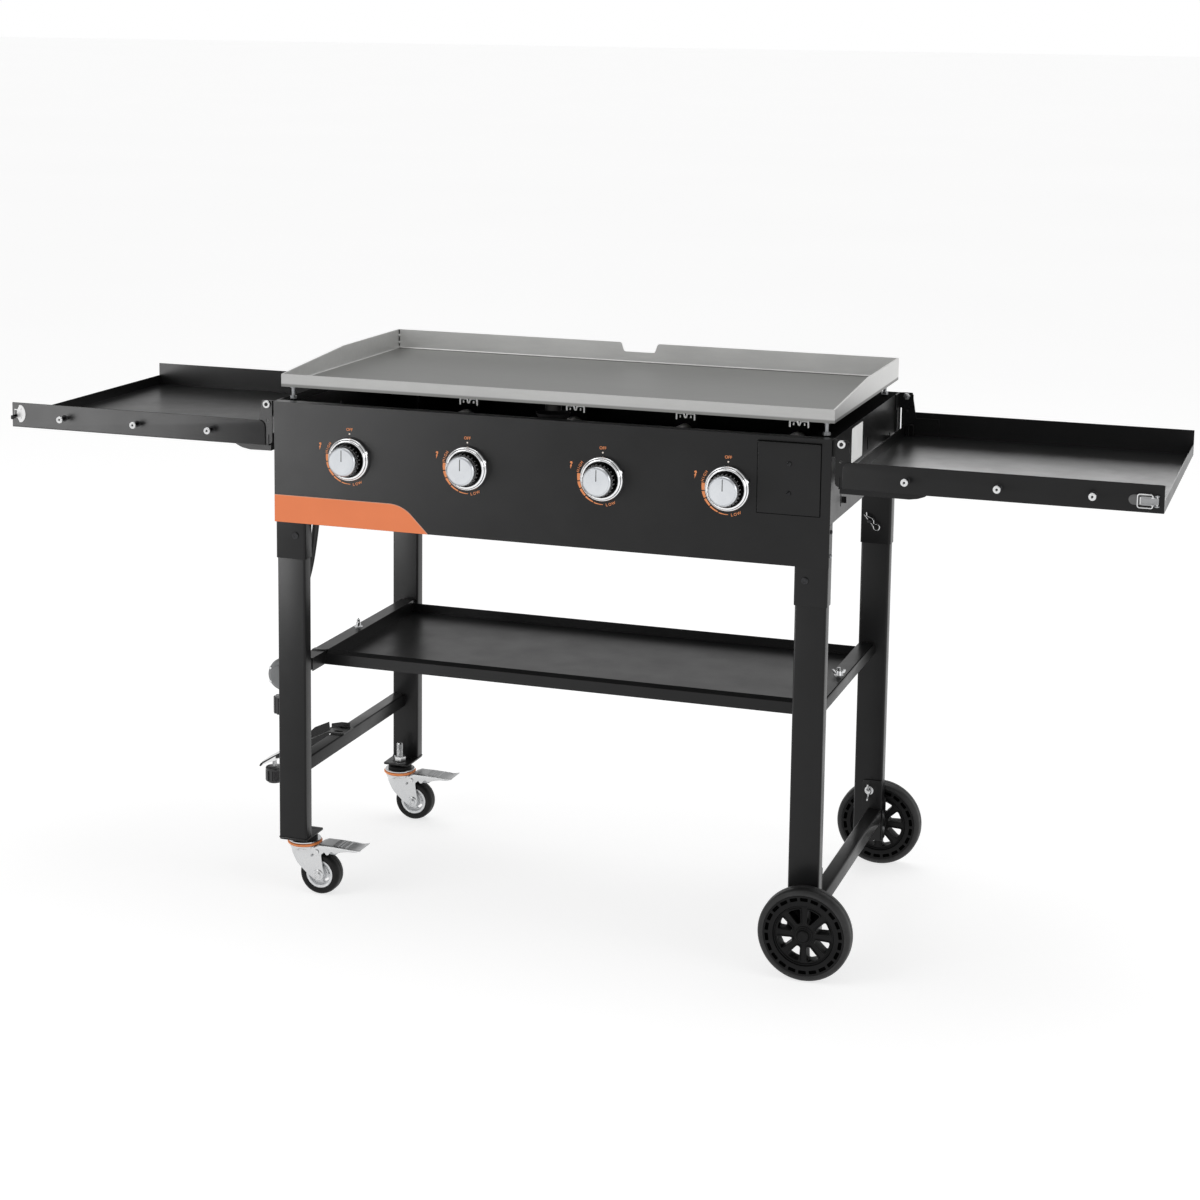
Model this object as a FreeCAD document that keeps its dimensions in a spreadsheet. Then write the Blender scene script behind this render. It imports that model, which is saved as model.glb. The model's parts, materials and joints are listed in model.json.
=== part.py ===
import FreeCAD, Part
import math
import os
import Sketcher

os.makedirs("parts", exist_ok=True)
doc = FreeCAD.newDocument("GriddleStation")
V3 = FreeCAD.Vector

# ---------------------------------------------------------------------------
# Driving dimensions, millimetres and degrees.
# X runs along the cooking surface, Y from the user (-) to the back (+), Z up.
# The origin is on the ground under the middle of the body.
# ---------------------------------------------------------------------------
sheet = doc.addObject("Spreadsheet::Sheet", "Sizes")
SIZES = [
    # griddle plate
    ("panHalf", 457.0, "half width of the griddle plate"),
    ("panFront", 226.0, "front of the plate, distance ahead of the origin"),
    ("panRear", 248.5, "back of the plate"),
    ("panLow", 855.0, "underside of the plate"),
    ("panFloor", 3.5, "plate thickness"),
    ("panWall", 3.0, "thickness of the upturned walls"),
    ("lipTop", 875.5, "top of the front lip"),
    ("wallTop", 892.0, "top of the back wall"),
    ("wallKink", 12.0, "where the side walls reach their full height"),
    ("notchLow", 876.0, "bottom of the notch in the back wall"),
    ("notchHalf", 33.5, "half width of that notch at its top"),
    # body
    ("bodyHalf", 459.0, "half width of the body"),
    ("bodyFront", 249.0, "front face of the control panel"),
    ("bodyTop", 834.0, "top of the body"),
    ("panelLow", 637.0, "bottom of the control panel"),
    ("sideLow", 704.0, "bottom of the side and back panels"),
    ("sheetT", 1.2, "sheet thickness of the body"),
    ("shieldBack", 180.0, "heat shield ahead of the origin"),
    ("shieldTop", 812.0, "top of the heat shield"),
    # legs and sockets
    ("legOut", 456.1, "outer face of a leg"),
    ("legIn", 407.1, "inner face of a leg"),
    ("legFar", 246.1, "front or back face of a leg"),
    ("legNear", 222.1, "face of a leg towards the middle"),
    ("legWall", 1.5, "tube wall"),
    ("legTop", 790.0, "top of a leg inside its socket"),
    ("sockLow", 577.0, "bottom of a socket"),
    ("sockTop", 832.0, "top of a socket"),
    ("sockWall", 1.5, "socket wall"),
    ("sockGap", 0.2, "play between socket and leg"),
    ("pinX", 422.5, "leg pin"),
    ("pinZ", 616.0, "leg pin"),
    ("pinR", 3.0, "leg pin radius"),
    ("footTop", 104.0, "top of the caster foot plates"),
    ("footT", 3.0, "thickness of the foot plates"),
    ("footIn", 178.0, "inner edge of the foot plates"),
    ("rightLegLow", 85.0, "bottom of the legs at the wheels"),
    # knobs and gas
    ("knobZ", 749.0, "knob axis"),
    ("bezelR", 35.0, "bezel outer radius"),
    ("knobR", 25.4, "knob skirt radius"),
    ("capR", 24.0, "knob cap radius"),
    ("knobFace", 283.0, "front of the knob"),
    ("knobPush", 5.0, "push travel"),
    ("stemR", 4.0, "valve stem radius"),
    ("burnerR", 16.0, "burner tube radius"),
    ("manifoldR", 8.0, "manifold radius"),
    ("manifoldZ", 721.0, "manifold axis"),
    ("manifoldY", 226.0, "manifold axis"),
    # folding side shelves
    ("pivotX", 473.0, "hinge axis"),
    ("pivotZ", 828.0, "hinge axis"),
    ("boltR", 3.0, "hinge bolt radius"),
    ("trayOut", 945.0, "outer end of a side shelf"),
    ("trayIn", 470.0, "inner end of a side shelf"),
    ("trayFront", 247.0, "front flange, outer face"),
    ("trayRear", 253.0, "back flange, outer face"),
    ("trayLow", 760.0, "underside of the shelf sheet"),
    ("trayTop", 801.0, "top of the flanges"),
    ("trayLip", 778.4, "top of the outer end lips"),
    ("trayLipIn", 778.4, "top of the inner end lips"),
    ("trayT", 1.2, "shelf sheet"),
    ("hookZ", 780.5, "tool hooks"),
    ("hookOut", 18.7, "reach of a tool hook"),
    # bottom shelf and crossbars
    ("shelfLow", 382.0, "underside of the bottom shelf"),
    ("shelfTop", 399.0, "top of its front and back flanges"),
    ("shelfHalf", 411.0, "half width of the bottom shelf"),
    ("shelfFront", 165.0, "front edge"),
    ("shelfRear", 208.0, "back edge"),
    ("barIn", 411.5, "inner face of the upper crossbars"),
    ("barOut", 435.5, "outer face of the upper crossbars"),
    ("barLow", 383.0, "underside of the upper crossbars"),
    ("barTop", 403.0, "top of the upper crossbars"),
    ("lowLeftZ", 199.5, "underside of the lower left crossbar"),
    ("lowRightZ", 88.5, "underside of the lower right crossbar"),
    ("lowSize", 24.0, "size of the lower crossbars"),
    # casters
    ("castX", 431.6, "caster stem"),
    ("castY", 199.0, "caster stem"),
    ("castR", 35.0, "caster wheel radius"),
    ("castTrail", 31.0, "trail"),
    ("castW", 26.0, "tread width"),
    ("brakeTurn", 12.0, "brake pedal travel"),
    # big wheels
    ("wheelX", 443.0, "axle"),
    ("wheelR", 73.0, "wheel radius"),
    ("wheelOut", 287.0, "outer face of a wheel"),
    ("wheelW", 30.0, "wheel width"),
    ("axleR", 5.0, "axle bolt radius"),
    # grease
    ("drainY", 197.0, "drain ahead of the origin"),
    ("cupLow", 594.0, "bottom of the grease cup"),
    ("cupTop", 632.0, "rim of the grease cup"),
]
K = {}
for row, (alias, value, note) in enumerate(SIZES, start=1):
    sheet.set("A%d" % row, note)
    sheet.set("B%d" % row, "%g" % value)
    sheet.setAlias("B%d" % row, alias)
doc.recompute()
for alias, value, note in SIZES:
    K[alias] = float(getattr(sheet, alias))

made = {}      # node name -> document object that carries its final shape


def bind(obj, prop, value):
    """A number is set, a text is an expression over the sheet's aliases, each written with a $ before it."""
    if isinstance(value, str):
        obj.setExpression(prop, value.replace("$", "Sizes."))
    else:
        parts = prop.split(".")
        if len(parts) == 1:
            setattr(obj, prop, value)
        else:
            obj.setExpression(prop, "%.6f" % value)


def txt(v):
    return "(%s)" % v if isinstance(v, str) else "(%.6f)" % v


counter = [0]


def uid(stem):
    counter[0] += 1
    return "%s_%03d" % (stem, counter[0])


def box(x0, x1, y0, y1, z0, z1):
    o = doc.addObject("Part::Box", uid("Block"))
    bind(o, "Length", "%s-%s" % (txt(x1), txt(x0)))
    bind(o, "Width", "%s-%s" % (txt(y1), txt(y0)))
    bind(o, "Height", "%s-%s" % (txt(z1), txt(z0)))
    bind(o, "Placement.Base.x", txt(x0))
    bind(o, "Placement.Base.y", txt(y0))
    bind(o, "Placement.Base.z", txt(z0))
    return o


def cyl(x, y, z, r, length, axis="z", sides=None):
    """A round bar from (x, y, z) along the axis, or a prism when sides is given."""
    if sides:
        o = doc.addObject("Part::Prism", uid("Prism"))
        o.Polygon = sides
        bind(o, "Circumradius", r)
        bind(o, "Height", length)
    else:
        o = doc.addObject("Part::Cylinder", uid("Rod"))
        bind(o, "Radius", r)
        bind(o, "Height", length)
    turn = {"z": (V3(0, 0, 1), 0), "x": (V3(0, 1, 0), 90), "y": (V3(1, 0, 0), -90),
            "-z": (V3(1, 0, 0), 180), "-y": (V3(1, 0, 0), 90), "-x": (V3(0, 1, 0), -90)}[axis]
    o.Placement = FreeCAD.Placement(V3(0, 0, 0), FreeCAD.Rotation(turn[0], turn[1]))
    bind(o, "Placement.Base.x", txt(x))
    bind(o, "Placement.Base.y", txt(y))
    bind(o, "Placement.Base.z", txt(z))
    return o


def cone(x, y, z, r1, r2, length, axis="z"):
    o = doc.addObject("Part::Cone", uid("Taper"))
    bind(o, "Radius1", r1)
    bind(o, "Radius2", r2)
    bind(o, "Height", length)
    turn = {"z": (V3(0, 0, 1), 0), "y": (V3(1, 0, 0), -90), "-y": (V3(1, 0, 0), 90),
            "x": (V3(0, 1, 0), 90), "-x": (V3(0, 1, 0), -90), "-z": (V3(1, 0, 0), 180)}[axis]
    o.Placement = FreeCAD.Placement(V3(0, 0, 0), FreeCAD.Rotation(turn[0], turn[1]))
    bind(o, "Placement.Base.x", txt(x))
    bind(o, "Placement.Base.y", txt(y))
    bind(o, "Placement.Base.z", txt(z))
    return o


def fuse(*objs):
    o = doc.addObject("Part::MultiFuse", uid("Joined"))
    o.Shapes = list(objs)
    o.Refine = True
    return o


def cut(base, *tools):
    tool = tools[0] if len(tools) == 1 else fuse(*tools)
    o = doc.addObject("Part::Cut", uid("Cut"))
    o.Base = base
    o.Tool = tool
    o.Refine = True
    return o


def group(*objs):
    o = doc.addObject("Part::Compound", uid("Group"))
    o.Links = list(objs)
    return o


def mirror(obj, normal):
    """A copy on the other side of the plane through the origin."""
    o = doc.addObject("Part::Mirroring", uid("Mirror"))
    o.Source = obj
    o.Base = V3(0, 0, 0)
    o.Normal = V3(*normal)
    return o


def node(name, obj):
    obj.Label = name
    made[name] = obj
    return obj


# --- sketch-based bodies ---------------------------------------------------
def body(name):
    return doc.addObject("PartDesign::Body", name.replace("_", "") + "Body")


def plane_of(b, which):
    for f in b.Origin.OriginFeatures:
        if f.Role == which:
            return f


def sketch(b, which, offset):
    s = b.newObject("Sketcher::SketchObject", uid("Sketch"))
    s.AttachmentSupport = [(plane_of(b, which), "")]
    s.MapMode = "FlatFace"
    bind(s, "AttachmentOffset.Base.z", txt(offset))
    return s


def rect(s, u0, u1, v0, v1, sizes=None):
    """A rectangle with its four sides held from the sketch's origin."""
    n = s.GeometryCount
    pts = [(u0, v0), (u1, v0), (u1, v1), (u0, v1)]
    for i in range(4):
        a, c = pts[i], pts[(i + 1) % 4]
        s.addGeometry(Part.LineSegment(V3(a[0], a[1], 0), V3(c[0], c[1], 0)), False)
    for i in range(4):
        s.addConstraint(Sketcher.Constraint("Coincident", n + i, 2, n + (i + 1) % 4, 1))
    for i in (0, 2):
        s.addConstraint(Sketcher.Constraint("Horizontal", n + i))
    for i in (1, 3):
        s.addConstraint(Sketcher.Constraint("Vertical", n + i))
    for i, (kind, where, value) in enumerate((("DistanceX", (n, 1), u0), ("DistanceX", (n + 1, 1), u1),
                                              ("DistanceY", (n, 1), v0), ("DistanceY", (n + 2, 1), v1))):
        c = s.addConstraint(Sketcher.Constraint(kind, -1, 1, where[0], where[1], value))
        if sizes and sizes[i]:
            s.setExpression("Constraints[%d]" % c, sizes[i].replace("$", "Sizes."))


def poly(s, pts):
    n = s.GeometryCount
    for i in range(len(pts)):
        a, c = pts[i], pts[(i + 1) % len(pts)]
        s.addGeometry(Part.LineSegment(V3(a[0], a[1], 0), V3(c[0], c[1], 0)), False)
    for i in range(len(pts)):
        s.addConstraint(Sketcher.Constraint("Coincident", n + i, 2, n + (i + 1) % len(pts), 1))


def ring(s, u, v, r, size=None):
    n = s.GeometryCount
    s.addGeometry(Part.Circle(V3(u, v, 0), V3(0, 0, 1), r), False)
    c = s.addConstraint(Sketcher.Constraint("Radius", n, r))
    if size:
        s.setExpression("Constraints[%d]" % c, size.replace("$", "Sizes."))


def slot_hole(s, u, v, half, r):
    """An upright slot with round ends, half its straight length each way from (u, v)."""
    n = s.GeometryCount
    s.addGeometry(Part.LineSegment(V3(u + r, v - half, 0), V3(u + r, v + half, 0)), False)
    s.addGeometry(Part.ArcOfCircle(Part.Circle(V3(u, v + half, 0), V3(0, 0, 1), r), 0, math.pi), False)
    s.addGeometry(Part.LineSegment(V3(u - r, v + half, 0), V3(u - r, v - half, 0)), False)
    s.addGeometry(Part.ArcOfCircle(Part.Circle(V3(u, v - half, 0), V3(0, 0, 1), r), math.pi, 2 * math.pi), False)


def pad(b, s, length, reverse=False, both=False):
    p = b.newObject("PartDesign::Pad", uid("Pad"))
    p.Profile = s
    bind(p, "Length", length)
    p.Reversed = reverse
    p.Midplane = both
    s.Visibility = False
    return p


def pocket(b, s, length, reverse=False, both=False):
    p = b.newObject("PartDesign::Pocket", uid("Pocket"))
    p.Profile = s
    bind(p, "Length", length)
    p.Reversed = reverse
    p.Midplane = both
    return p


def revolve(b, s, which="V_Axis"):
    r = b.newObject("PartDesign::Revolution", uid("Revolve"))
    r.Profile = s
    r.ReferenceAxis = (s, [which])
    r.Angle = 360.0
    return r


def groove(b, s, which="V_Axis"):
    r = b.newObject("PartDesign::Groove", uid("Groove"))
    r.Profile = s
    r.ReferenceAxis = (s, [which])
    r.Angle = 360.0
    return r


# Sketches on the upright plane across the object: u is X, v is Z, and the plane
# stands at the given Y; the pad grows towards the user, so it starts at the back face.
def xz(b, y_back):
    return sketch(b, "XZ_Plane", "-%s" % txt(y_back))


def yz(b, x_start):
    return sketch(b, "YZ_Plane", x_start)


def xy(b, z_start):
    return sketch(b, "XY_Plane", z_start)


# ---------------------------------------------------------------------------
# Griddle plate: floor, low front lip, side walls that rise towards the back,
# back wall with a notch for the lids' end lips, and a drain spout.
# ---------------------------------------------------------------------------
b = body("griddle_plate")
s = xy(b, "$panLow")
rect(s, -K["panHalf"], K["panHalf"], -K["panFront"], K["panRear"], ("-$panHalf", "$panHalf", "-$panFront", "$panRear"))
pad(b, s, "$panFloor")
s = xz(b, "-$panFront+$panWall")
rect(s, -K["panHalf"], K["panHalf"], K["panLow"], K["lipTop"], ("-$panHalf", "$panHalf", "$panLow", "$lipTop"))
pad(b, s, "$panWall")
for side in (-1, 1):
    s = yz(b, "-$panHalf" if side < 0 else "$panHalf-$panWall")
    poly(s, [(-K["panFront"], K["panLow"]), (K["panRear"], K["panLow"]), (K["panRear"], K["wallTop"]),
             (K["wallKink"], K["wallTop"]), (-K["panFront"], K["lipTop"])])
    pad(b, s, "$panWall")
s = xz(b, "$panRear")
n = K["notchHalf"]
notch = [(n + 3.4, K["wallTop"]), (n + 1.2, K["wallTop"] - 0.5), (n - 0.6, K["wallTop"] - 2.2), (n - 1.5, K["wallTop"] - 4.2),
         (n - 4.2, K["notchLow"] + 3.6), (n - 5.0, K["notchLow"] + 1.7), (n - 6.6, K["notchLow"] + 0.4), (n - 8.8, K["notchLow"])]
poly(s, [(-K["panHalf"], K["panLow"]), (K["panHalf"], K["panLow"]), (K["panHalf"], K["wallTop"])] + notch +
     [(-u, v) for u, v in notch[::-1]] + [(-K["panHalf"], K["wallTop"])])
pad(b, s, "$panWall")
s = xy(b, "$panLow-13")
ring(s, 0, -K["drainY"], 13)
pad(b, s, 13.5)
s = xy(b, "$panLow-14")
ring(s, 0, -K["drainY"], 10.5)
pocket(b, s, 20, reverse=True)
node("griddle_plate", b)

# Four levelling posts that carry the plate on the body's top flanges.
posts = []
for sx in (-1, 1):
    for sy in (-1, 1):
        x, y = sx * 442.0, sy * 212.0
        posts.append(fuse(cyl(x, y, "$bodyTop", 6.0, 5.0, sides=6), cyl(x, y, "$bodyTop", 3.0, "$panLow-$bodyTop"),
                          cyl(x, y, "$panLow-3", 5.0, 3.0)))
node("griddle_posts", group(*posts))

# ---------------------------------------------------------------------------
# Body
# ---------------------------------------------------------------------------
KNOB_X = [-326.0, -124.0, 100.0, 300.0]
BURNER_X = [-300.0, -100.0, 100.0, 300.0]

b = body("front_panel")
s = yz(b, "-$bodyHalf")
f, t = -K["bodyFront"], K["sheetT"]
rect(s, f, f + t, K["panelLow"], K["bodyTop"], ("-$bodyFront", "-$bodyFront+$sheetT", "$panelLow", "$bodyTop"))
pad(b, s, "2*$bodyHalf")
s = yz(b, "-$bodyHalf")
rect(s, f, f + 20, K["bodyTop"] - t, K["bodyTop"])
pad(b, s, "2*$bodyHalf")
s = yz(b, -398.0)
rect(s, f, f + 15, K["panelLow"], K["panelLow"] + t)
pad(b, s, 796.0)
for start in ("-$bodyHalf", "$bodyHalf-$sheetT"):
    s = yz(b, start)
    poly(s, [(f, K["panelLow"]), (f + 13, K["panelLow"]), (f + 19, K["panelLow"] + 8), (f + 19, K["sideLow"] - 0.4), (f, K["sideLow"] - 0.4)])
    pad(b, s, "$sheetT")
s = xz(b, "-$bodyFront+5")
for x in KNOB_X:
    ring(s, x, K["knobZ"], 8.0)
pocket(b, s, 12.0, both=True)
node("front_panel", b)

# Side panels: sheet with a wide top flange for the posts, a bottom flange,
# a slot, and two ears each that carry the folding shelf's hinge bolts.
for name, sd in (("side_panel_right", 1), ("side_panel_left", -1)):
    wall = box("$bodyHalf-$sheetT", "$bodyHalf", "-$bodyFront+$sheetT", "$bodyFront-$sheetT", "$sideLow", "$bodyTop-$sheetT")
    top = box("$bodyHalf-33", "$bodyHalf", "-$bodyFront+20.2", "$bodyFront-$sheetT", "$bodyTop-$sheetT", "$bodyTop")
    low = box("$bodyHalf-15", "$bodyHalf", -215.0, 215.0, "$sideLow", "$sideLow+$sheetT")
    hole = fuse(box("$bodyHalf-3", "$bodyHalf+3", 3.0, 8.0, 777.0, 797.0),
                box("$bodyHalf-3", "$bodyHalf+3", -181.0, -177.0, 720.0, 744.0))
    plate = cut(fuse(wall, top, low), hole)
    ears = []
    for y0, y1, f0, f1 in ((-243.4, -241.4, -241.4, -211.0), (247.0, 249.2, 217.0, 247.0)):
        ear = fuse(box("$bodyHalf", "$pivotX+4", y0, y1, "$pivotZ-20", "$pivotZ+6"),
                   box("$pivotX+4", "$pivotX+11", y0, y1, "$pivotZ-16", "$pivotZ+3"))
        foot = box("$bodyHalf", "$bodyHalf+2", f0, f1, "$pivotZ-20", "$pivotZ+6")
        if y0 > 0:
            foot = fuse(foot, box("$bodyHalf", "$bodyHalf+3.5", y0, y1, 768.0, "$pivotZ-18"), box("$bodyHalf", "$bodyHalf+2", 227.0, y0, 768.0, "$pivotZ-18"))
        ears.append(cut(fuse(ear, foot), cyl("$pivotX", y0 - 1, "$pivotZ", "$boltR", 5.0, "y")))
    hooks = [box("$bodyHalf", "$bodyHalf+6", 152.0, 154.0, 764.0, 776.0),
             box("$bodyHalf+4.5", "$bodyHalf+6", 152.0, 154.0, 776.0, 781.0),
             box("$bodyHalf", "$bodyHalf+5", -162.0, -160.0, 722.0, 732.0)]
    panel = fuse(plate, ears[0], ears[1], *hooks)
    node(name, panel if sd > 0 else mirror(panel, (1, 0, 0)))

rear = cut(box("-$bodyHalf", "$bodyHalf", "$bodyFront-$sheetT", "$bodyFront", "$sideLow", "$bodyTop-8"),
           *[box(x - 40, x + 40, "$bodyFront-5", "$bodyFront+5", z, z + 6)
             for x in (-300, -100, 100, 300) for z in (775.0, 790.0)])
node("rear_panel", rear)

# Firebox floor with the upright heat shield between burners and valves.
floor = box(-455.0, 455.0, "-$shieldBack", "$bodyFront-$sheetT-0.2", "$sideLow+$sheetT", "$sideLow+2*$sheetT")
shield = box(-455.0, 455.0, "-$shieldBack", "-$shieldBack+$sheetT", "$sideLow+$sheetT", "$shieldTop")
corner = [box(sx * 404.0 if sx > 0 else -457.0, 457.0 if sx > 0 else -404.0, 219.0, 250.0, "$sideLow", "$sideLow+5") for sx in (-1, 1)]
holes = [cyl(x, "-$shieldBack-5", "$knobZ", "$burnerR", 10.0, "y") for x in KNOB_X]
holes += [cyl(x + 25, "-$shieldBack-5", "$knobZ+10", 3.2, 10.0, "y") for x in KNOB_X]
node("firebox_floor", cut(fuse(floor, shield), *(holes + corner)))

# Leg sockets: four rectangular sleeves inside the body's corners.
socks = []
for sx in (-1, 1):
    for sy in (-1, 1):
        def span(lo, hi, sg):
            return (lo, hi) if sg > 0 else ("-(%s)" % hi, "-(%s)" % lo)
        ox = span("$legIn-$sockGap-$sockWall", "$legOut+$sockGap+$sockWall", sx)
        oy = span("$legNear-$sockGap-$sockWall", "$legFar+$sockGap+$sockWall", sy)
        ix = span("$legIn-$sockGap", "$legOut+$sockGap", sx)
        iy = span("$legNear-$sockGap", "$legFar+$sockGap", sy)
        outer = box(ox[0], ox[1], oy[0], oy[1], "$sockLow", "$sockTop")
        inner = box(ix[0], ix[1], iy[0], iy[1], "$sockLow-1", "$sockTop+1")
        pin = cyl("%d*$pinX" % sx, "%d*$legNear-%g" % (sy, 30 if sy < 0 else 10), "$pinZ", "$pinR", 40.0, "y")
        socks.append(cut(outer, inner, pin))
node("leg_sockets", group(*socks))

# ---------------------------------------------------------------------------
# Legs. The left pair ends in foot plates for the casters, the right pair in
# axle brackets for the wheels.
# ---------------------------------------------------------------------------
for name, sx, sy in (("leg_front_left", -1, -1), ("leg_rear_left", -1, 1), ("leg_front_right", 1, -1), ("leg_rear_right", 1, 1)):
    low = "$footTop" if sx < 0 else "$rightLegLow"
    ox = span("$legIn", "$legOut", sx)
    oy = span("$legNear", "$legFar", sy)
    ix = span("$legIn+$legWall", "$legOut-$legWall", sx)
    iy = span("$legNear+$legWall", "$legFar-$legWall", sy)
    tube = cut(box(ox[0], ox[1], oy[0], oy[1], low, "$legTop"), box(ix[0], ix[1], iy[0], iy[1], low + "-1", "$legTop+1"),
               cyl("%d*$pinX" % sx, "%d*$legNear-%g" % (sy, 30 if sy < 0 else 10), "$pinZ", "$pinR", 40.0, "y"))
    if sx < 0:
        py = span("$footIn", "$legFar", sy)
        foot = cut(box(ox[0], ox[1], py[0], py[1], "$footTop-$footT", "$footTop"),
                   cyl("-$castX", "%d*$castY" % sy, "$footTop-5", 6.0, 10.0))
        leg = fuse(tube, foot)
    else:
        by = span("$legFar", "$legFar+3", sy)
        fy = span("$legNear+1", "$legFar+3", sy)
        brk = cut(box(420.0, "$legOut+2", by[0], by[1], 55.0, 125.0),
                  cyl("$wheelX", "%d*$legFar-%g" % (sy, 10), "$wheelR", "$axleR", 20.0, "y"))
        leg = fuse(tube, brk, box("$legOut", "$legOut+2", fy[0], fy[1], 55.0, 110.0))
    node(name, leg)

# Pins that lock the legs in their sockets, and the spring clips on their ends.
pins, clips = [], []
for sx in (-1, 1):
    for sy in (-1, 1):
        out = "%d*($legFar+$sockGap+$sockWall)" % sy
        d = "-y" if sy > 0 else "y"
        pins.append(fuse(cyl("%d*$pinX" % sx, "%s%+g" % (out, 0), "$pinZ", "$pinR", 38.0, d),
                         cyl("%d*$pinX" % sx, out, "$pinZ", 5.5, 2.2, "y" if sy > 0 else "-y")))
        yc = "%d*($legNear-7)" % sy
        u = sx
        clips.append(fuse(box("%d*$pinX-%g" % (sx, 12), "%d*$pinX+%g" % (sx, 12), yc + "-0.8", yc + "+0.8", "$pinZ+3", "$pinZ+4.6"),
                          box("%d*$pinX-%g" % (sx, 12), "%d*$pinX+%g" % (sx, 12), yc + "-0.8", yc + "+0.8", "$pinZ-4.6", "$pinZ-3"),
                          box("%d*$pinX+%g" % (sx, 10.4), "%d*$pinX+%g" % (sx, 12), yc + "-0.8", yc + "+0.8", "$pinZ-4.6", "$pinZ+4.6")))
node("leg_pins", group(*(pins + clips)))

# ---------------------------------------------------------------------------
# Crossbars and bottom shelf
# ---------------------------------------------------------------------------
bars = []
for sx in (-1, 1):
    ox = span("$barIn", "$barOut", sx)
    ix = span("$barIn+1.5", "$barOut-1.5", sx)
    bars.append(cut(box(ox[0], ox[1], "-$legNear", "$legNear", "$barLow", "$barTop"),
                    box(ix[0], ix[1], "-$legNear-1", "$legNear+1", "$barLow+1.5", "$barTop-1.5"),
                    cyl("%d*424" % sx, 0.0, "$barTop-6", 3.0, 10.0)))
node("crossbars_upper", group(*bars))

lo = cut(box("-$legOut", "-$legOut+$lowSize", "-$legNear", "$legNear", "$lowLeftZ", "$lowLeftZ+$lowSize"),
         box("-$legOut+1.5", "-$legOut+$lowSize-1.5", "-$legNear-1", "$legNear+1", "$lowLeftZ+1.5", "$lowLeftZ+$lowSize-1.5"))
node("crossbar_lower_left", lo)
lo = cut(box("$legOut-$lowSize", "$legOut", "-$legNear", "$legNear", "$lowRightZ", "$lowRightZ+$lowSize"),
         box("$legOut-$lowSize+1.5", "$legOut-1.5", "-$legNear-1", "$legNear+1", "$lowRightZ+1.5", "$lowRightZ+$lowSize-1.5"))
ends = [box("$legOut-34", "$legOut", *(span("$legNear-2", "$legNear", sy) + ("$lowRightZ+$lowSize", "$lowRightZ+$lowSize+50"))) for sy in (-1, 1)]
ends = [cut(e, cyl(434.0, "%d*$legNear-5" % sy, 144.0, 3.0, 10.0, "y")) for e, sy in zip(ends, (-1, 1))]
node("crossbar_lower_right", fuse(lo, *ends))

b = body("bottom_shelf")
s = xy(b, "$shelfLow")
rect(s, -K["shelfHalf"], K["shelfHalf"], -K["shelfFront"], K["shelfRear"], ("-$shelfHalf", "$shelfHalf", "-$shelfFront", "$shelfRear"))
pad(b, s, 1.0)
s = xz(b, "$shelfRear")
rect(s, -K["shelfHalf"], K["shelfHalf"], K["shelfLow"], K["shelfTop"], ("-$shelfHalf", "$shelfHalf", "$shelfLow", "$shelfTop"))
pad(b, s, 1.0)
s = yz(b, "-$shelfHalf")
f, z = -K["shelfFront"], K["barTop"]
poly(s, [(f, K["shelfLow"]), (f + 1, K["shelfLow"]), (f + 1, z - 3.4), (f + 12, z), (f + 12, z + 1.2), (f, z - 2.6)])
pad(b, s, "2*$shelfHalf")
for sx in (-1, 1):
    s = xz(b, "$shelfRear")
    h, z = K["shelfHalf"] * sx, K["barTop"]
    poly(s, [(h - sx, K["shelfLow"]), (h, K["shelfLow"]), (h, z), (h + 23 * sx, z), (h + 23 * sx, z + 1.2), (h - sx, z + 1.2)])
    pad(b, s, "$shelfRear+$shelfFront+47")
s = xy(b, "$barTop-3")
for sx in (-1, 1):
    ring(s, 424.0 * sx, 0, 3.0)
pocket(b, s, 10, reverse=True)
node("bottom_shelf", b)

# Wing nuts with their studs: bottom shelf on both crossbars, lower right crossbar on both legs.
wings = []
for sx in (-1, 1):
    x = 424.0 * sx
    ends = [(x - 1.2, x + 1.2, -15.0, 15.0), (x - 1.2, x + 1.2, -15.0, -8.0), (x - 1.2, x + 1.2, 8.0, 15.0)]
    if sx > 0:
        ends = [(x - 15.0, x + 15.0, -1.2, 1.2), (x - 15.0, x - 8.0, -1.2, 1.2), (x + 8.0, x + 15.0, -1.2, 1.2)]
    wings.append(fuse(cyl(x, 0.0, "$barTop-1.5", 3.0, 17.0), cyl(x, 0.0, "$barTop+1.2", 5.0, 8.0),
                      box(*ends[0], "$barTop+5", "$barTop+8"), box(*ends[1], "$barTop+5", "$barTop+15"), box(*ends[2], "$barTop+5", "$barTop+15")))
for sy in (-1, 1):
    a = span("$legNear-15", "$legNear", sy)
    c = span("$legNear-9", "$legNear-2", sy)
    d = span("$legNear-8", "$legNear-5", sy)
    g = span("$legNear-16", "$legNear-5", sy)
    wings.append(fuse(cyl(434.0, a[0], 144.0, 3.0, "(%s)-(%s)" % (a[1], a[0]), "y"),
                      cyl(434.0, c[0], 144.0, 5.0, "(%s)-(%s)" % (c[1], c[0]), "y"),
                      box(432.8, 435.2, d[0], d[1], 129.0, 159.0),
                      box(432.8, 435.2, g[0], g[1], 129.0, 136.0), box(432.8, 435.2, g[0], g[1], 152.0, 159.0)))
node("wing_nuts", group(*wings))

# ---------------------------------------------------------------------------
# Knobs, valves, manifold and burners
# ---------------------------------------------------------------------------
bez = []
for x in KNOB_X:
    bez.append(cut(fuse(cyl(x, "-$bodyFront", "$knobZ", "$bezelR", 7.0, "-y"),
                        cone(x, "-$bodyFront-7", "$knobZ", "$bezelR", "$bezelR-3.5", 5.0, "-y")),
                   cyl(x, "-$bodyFront+1", "$knobZ", 27.0, 20.0, "-y")))
node("knob_bezels", group(*bez))

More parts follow.
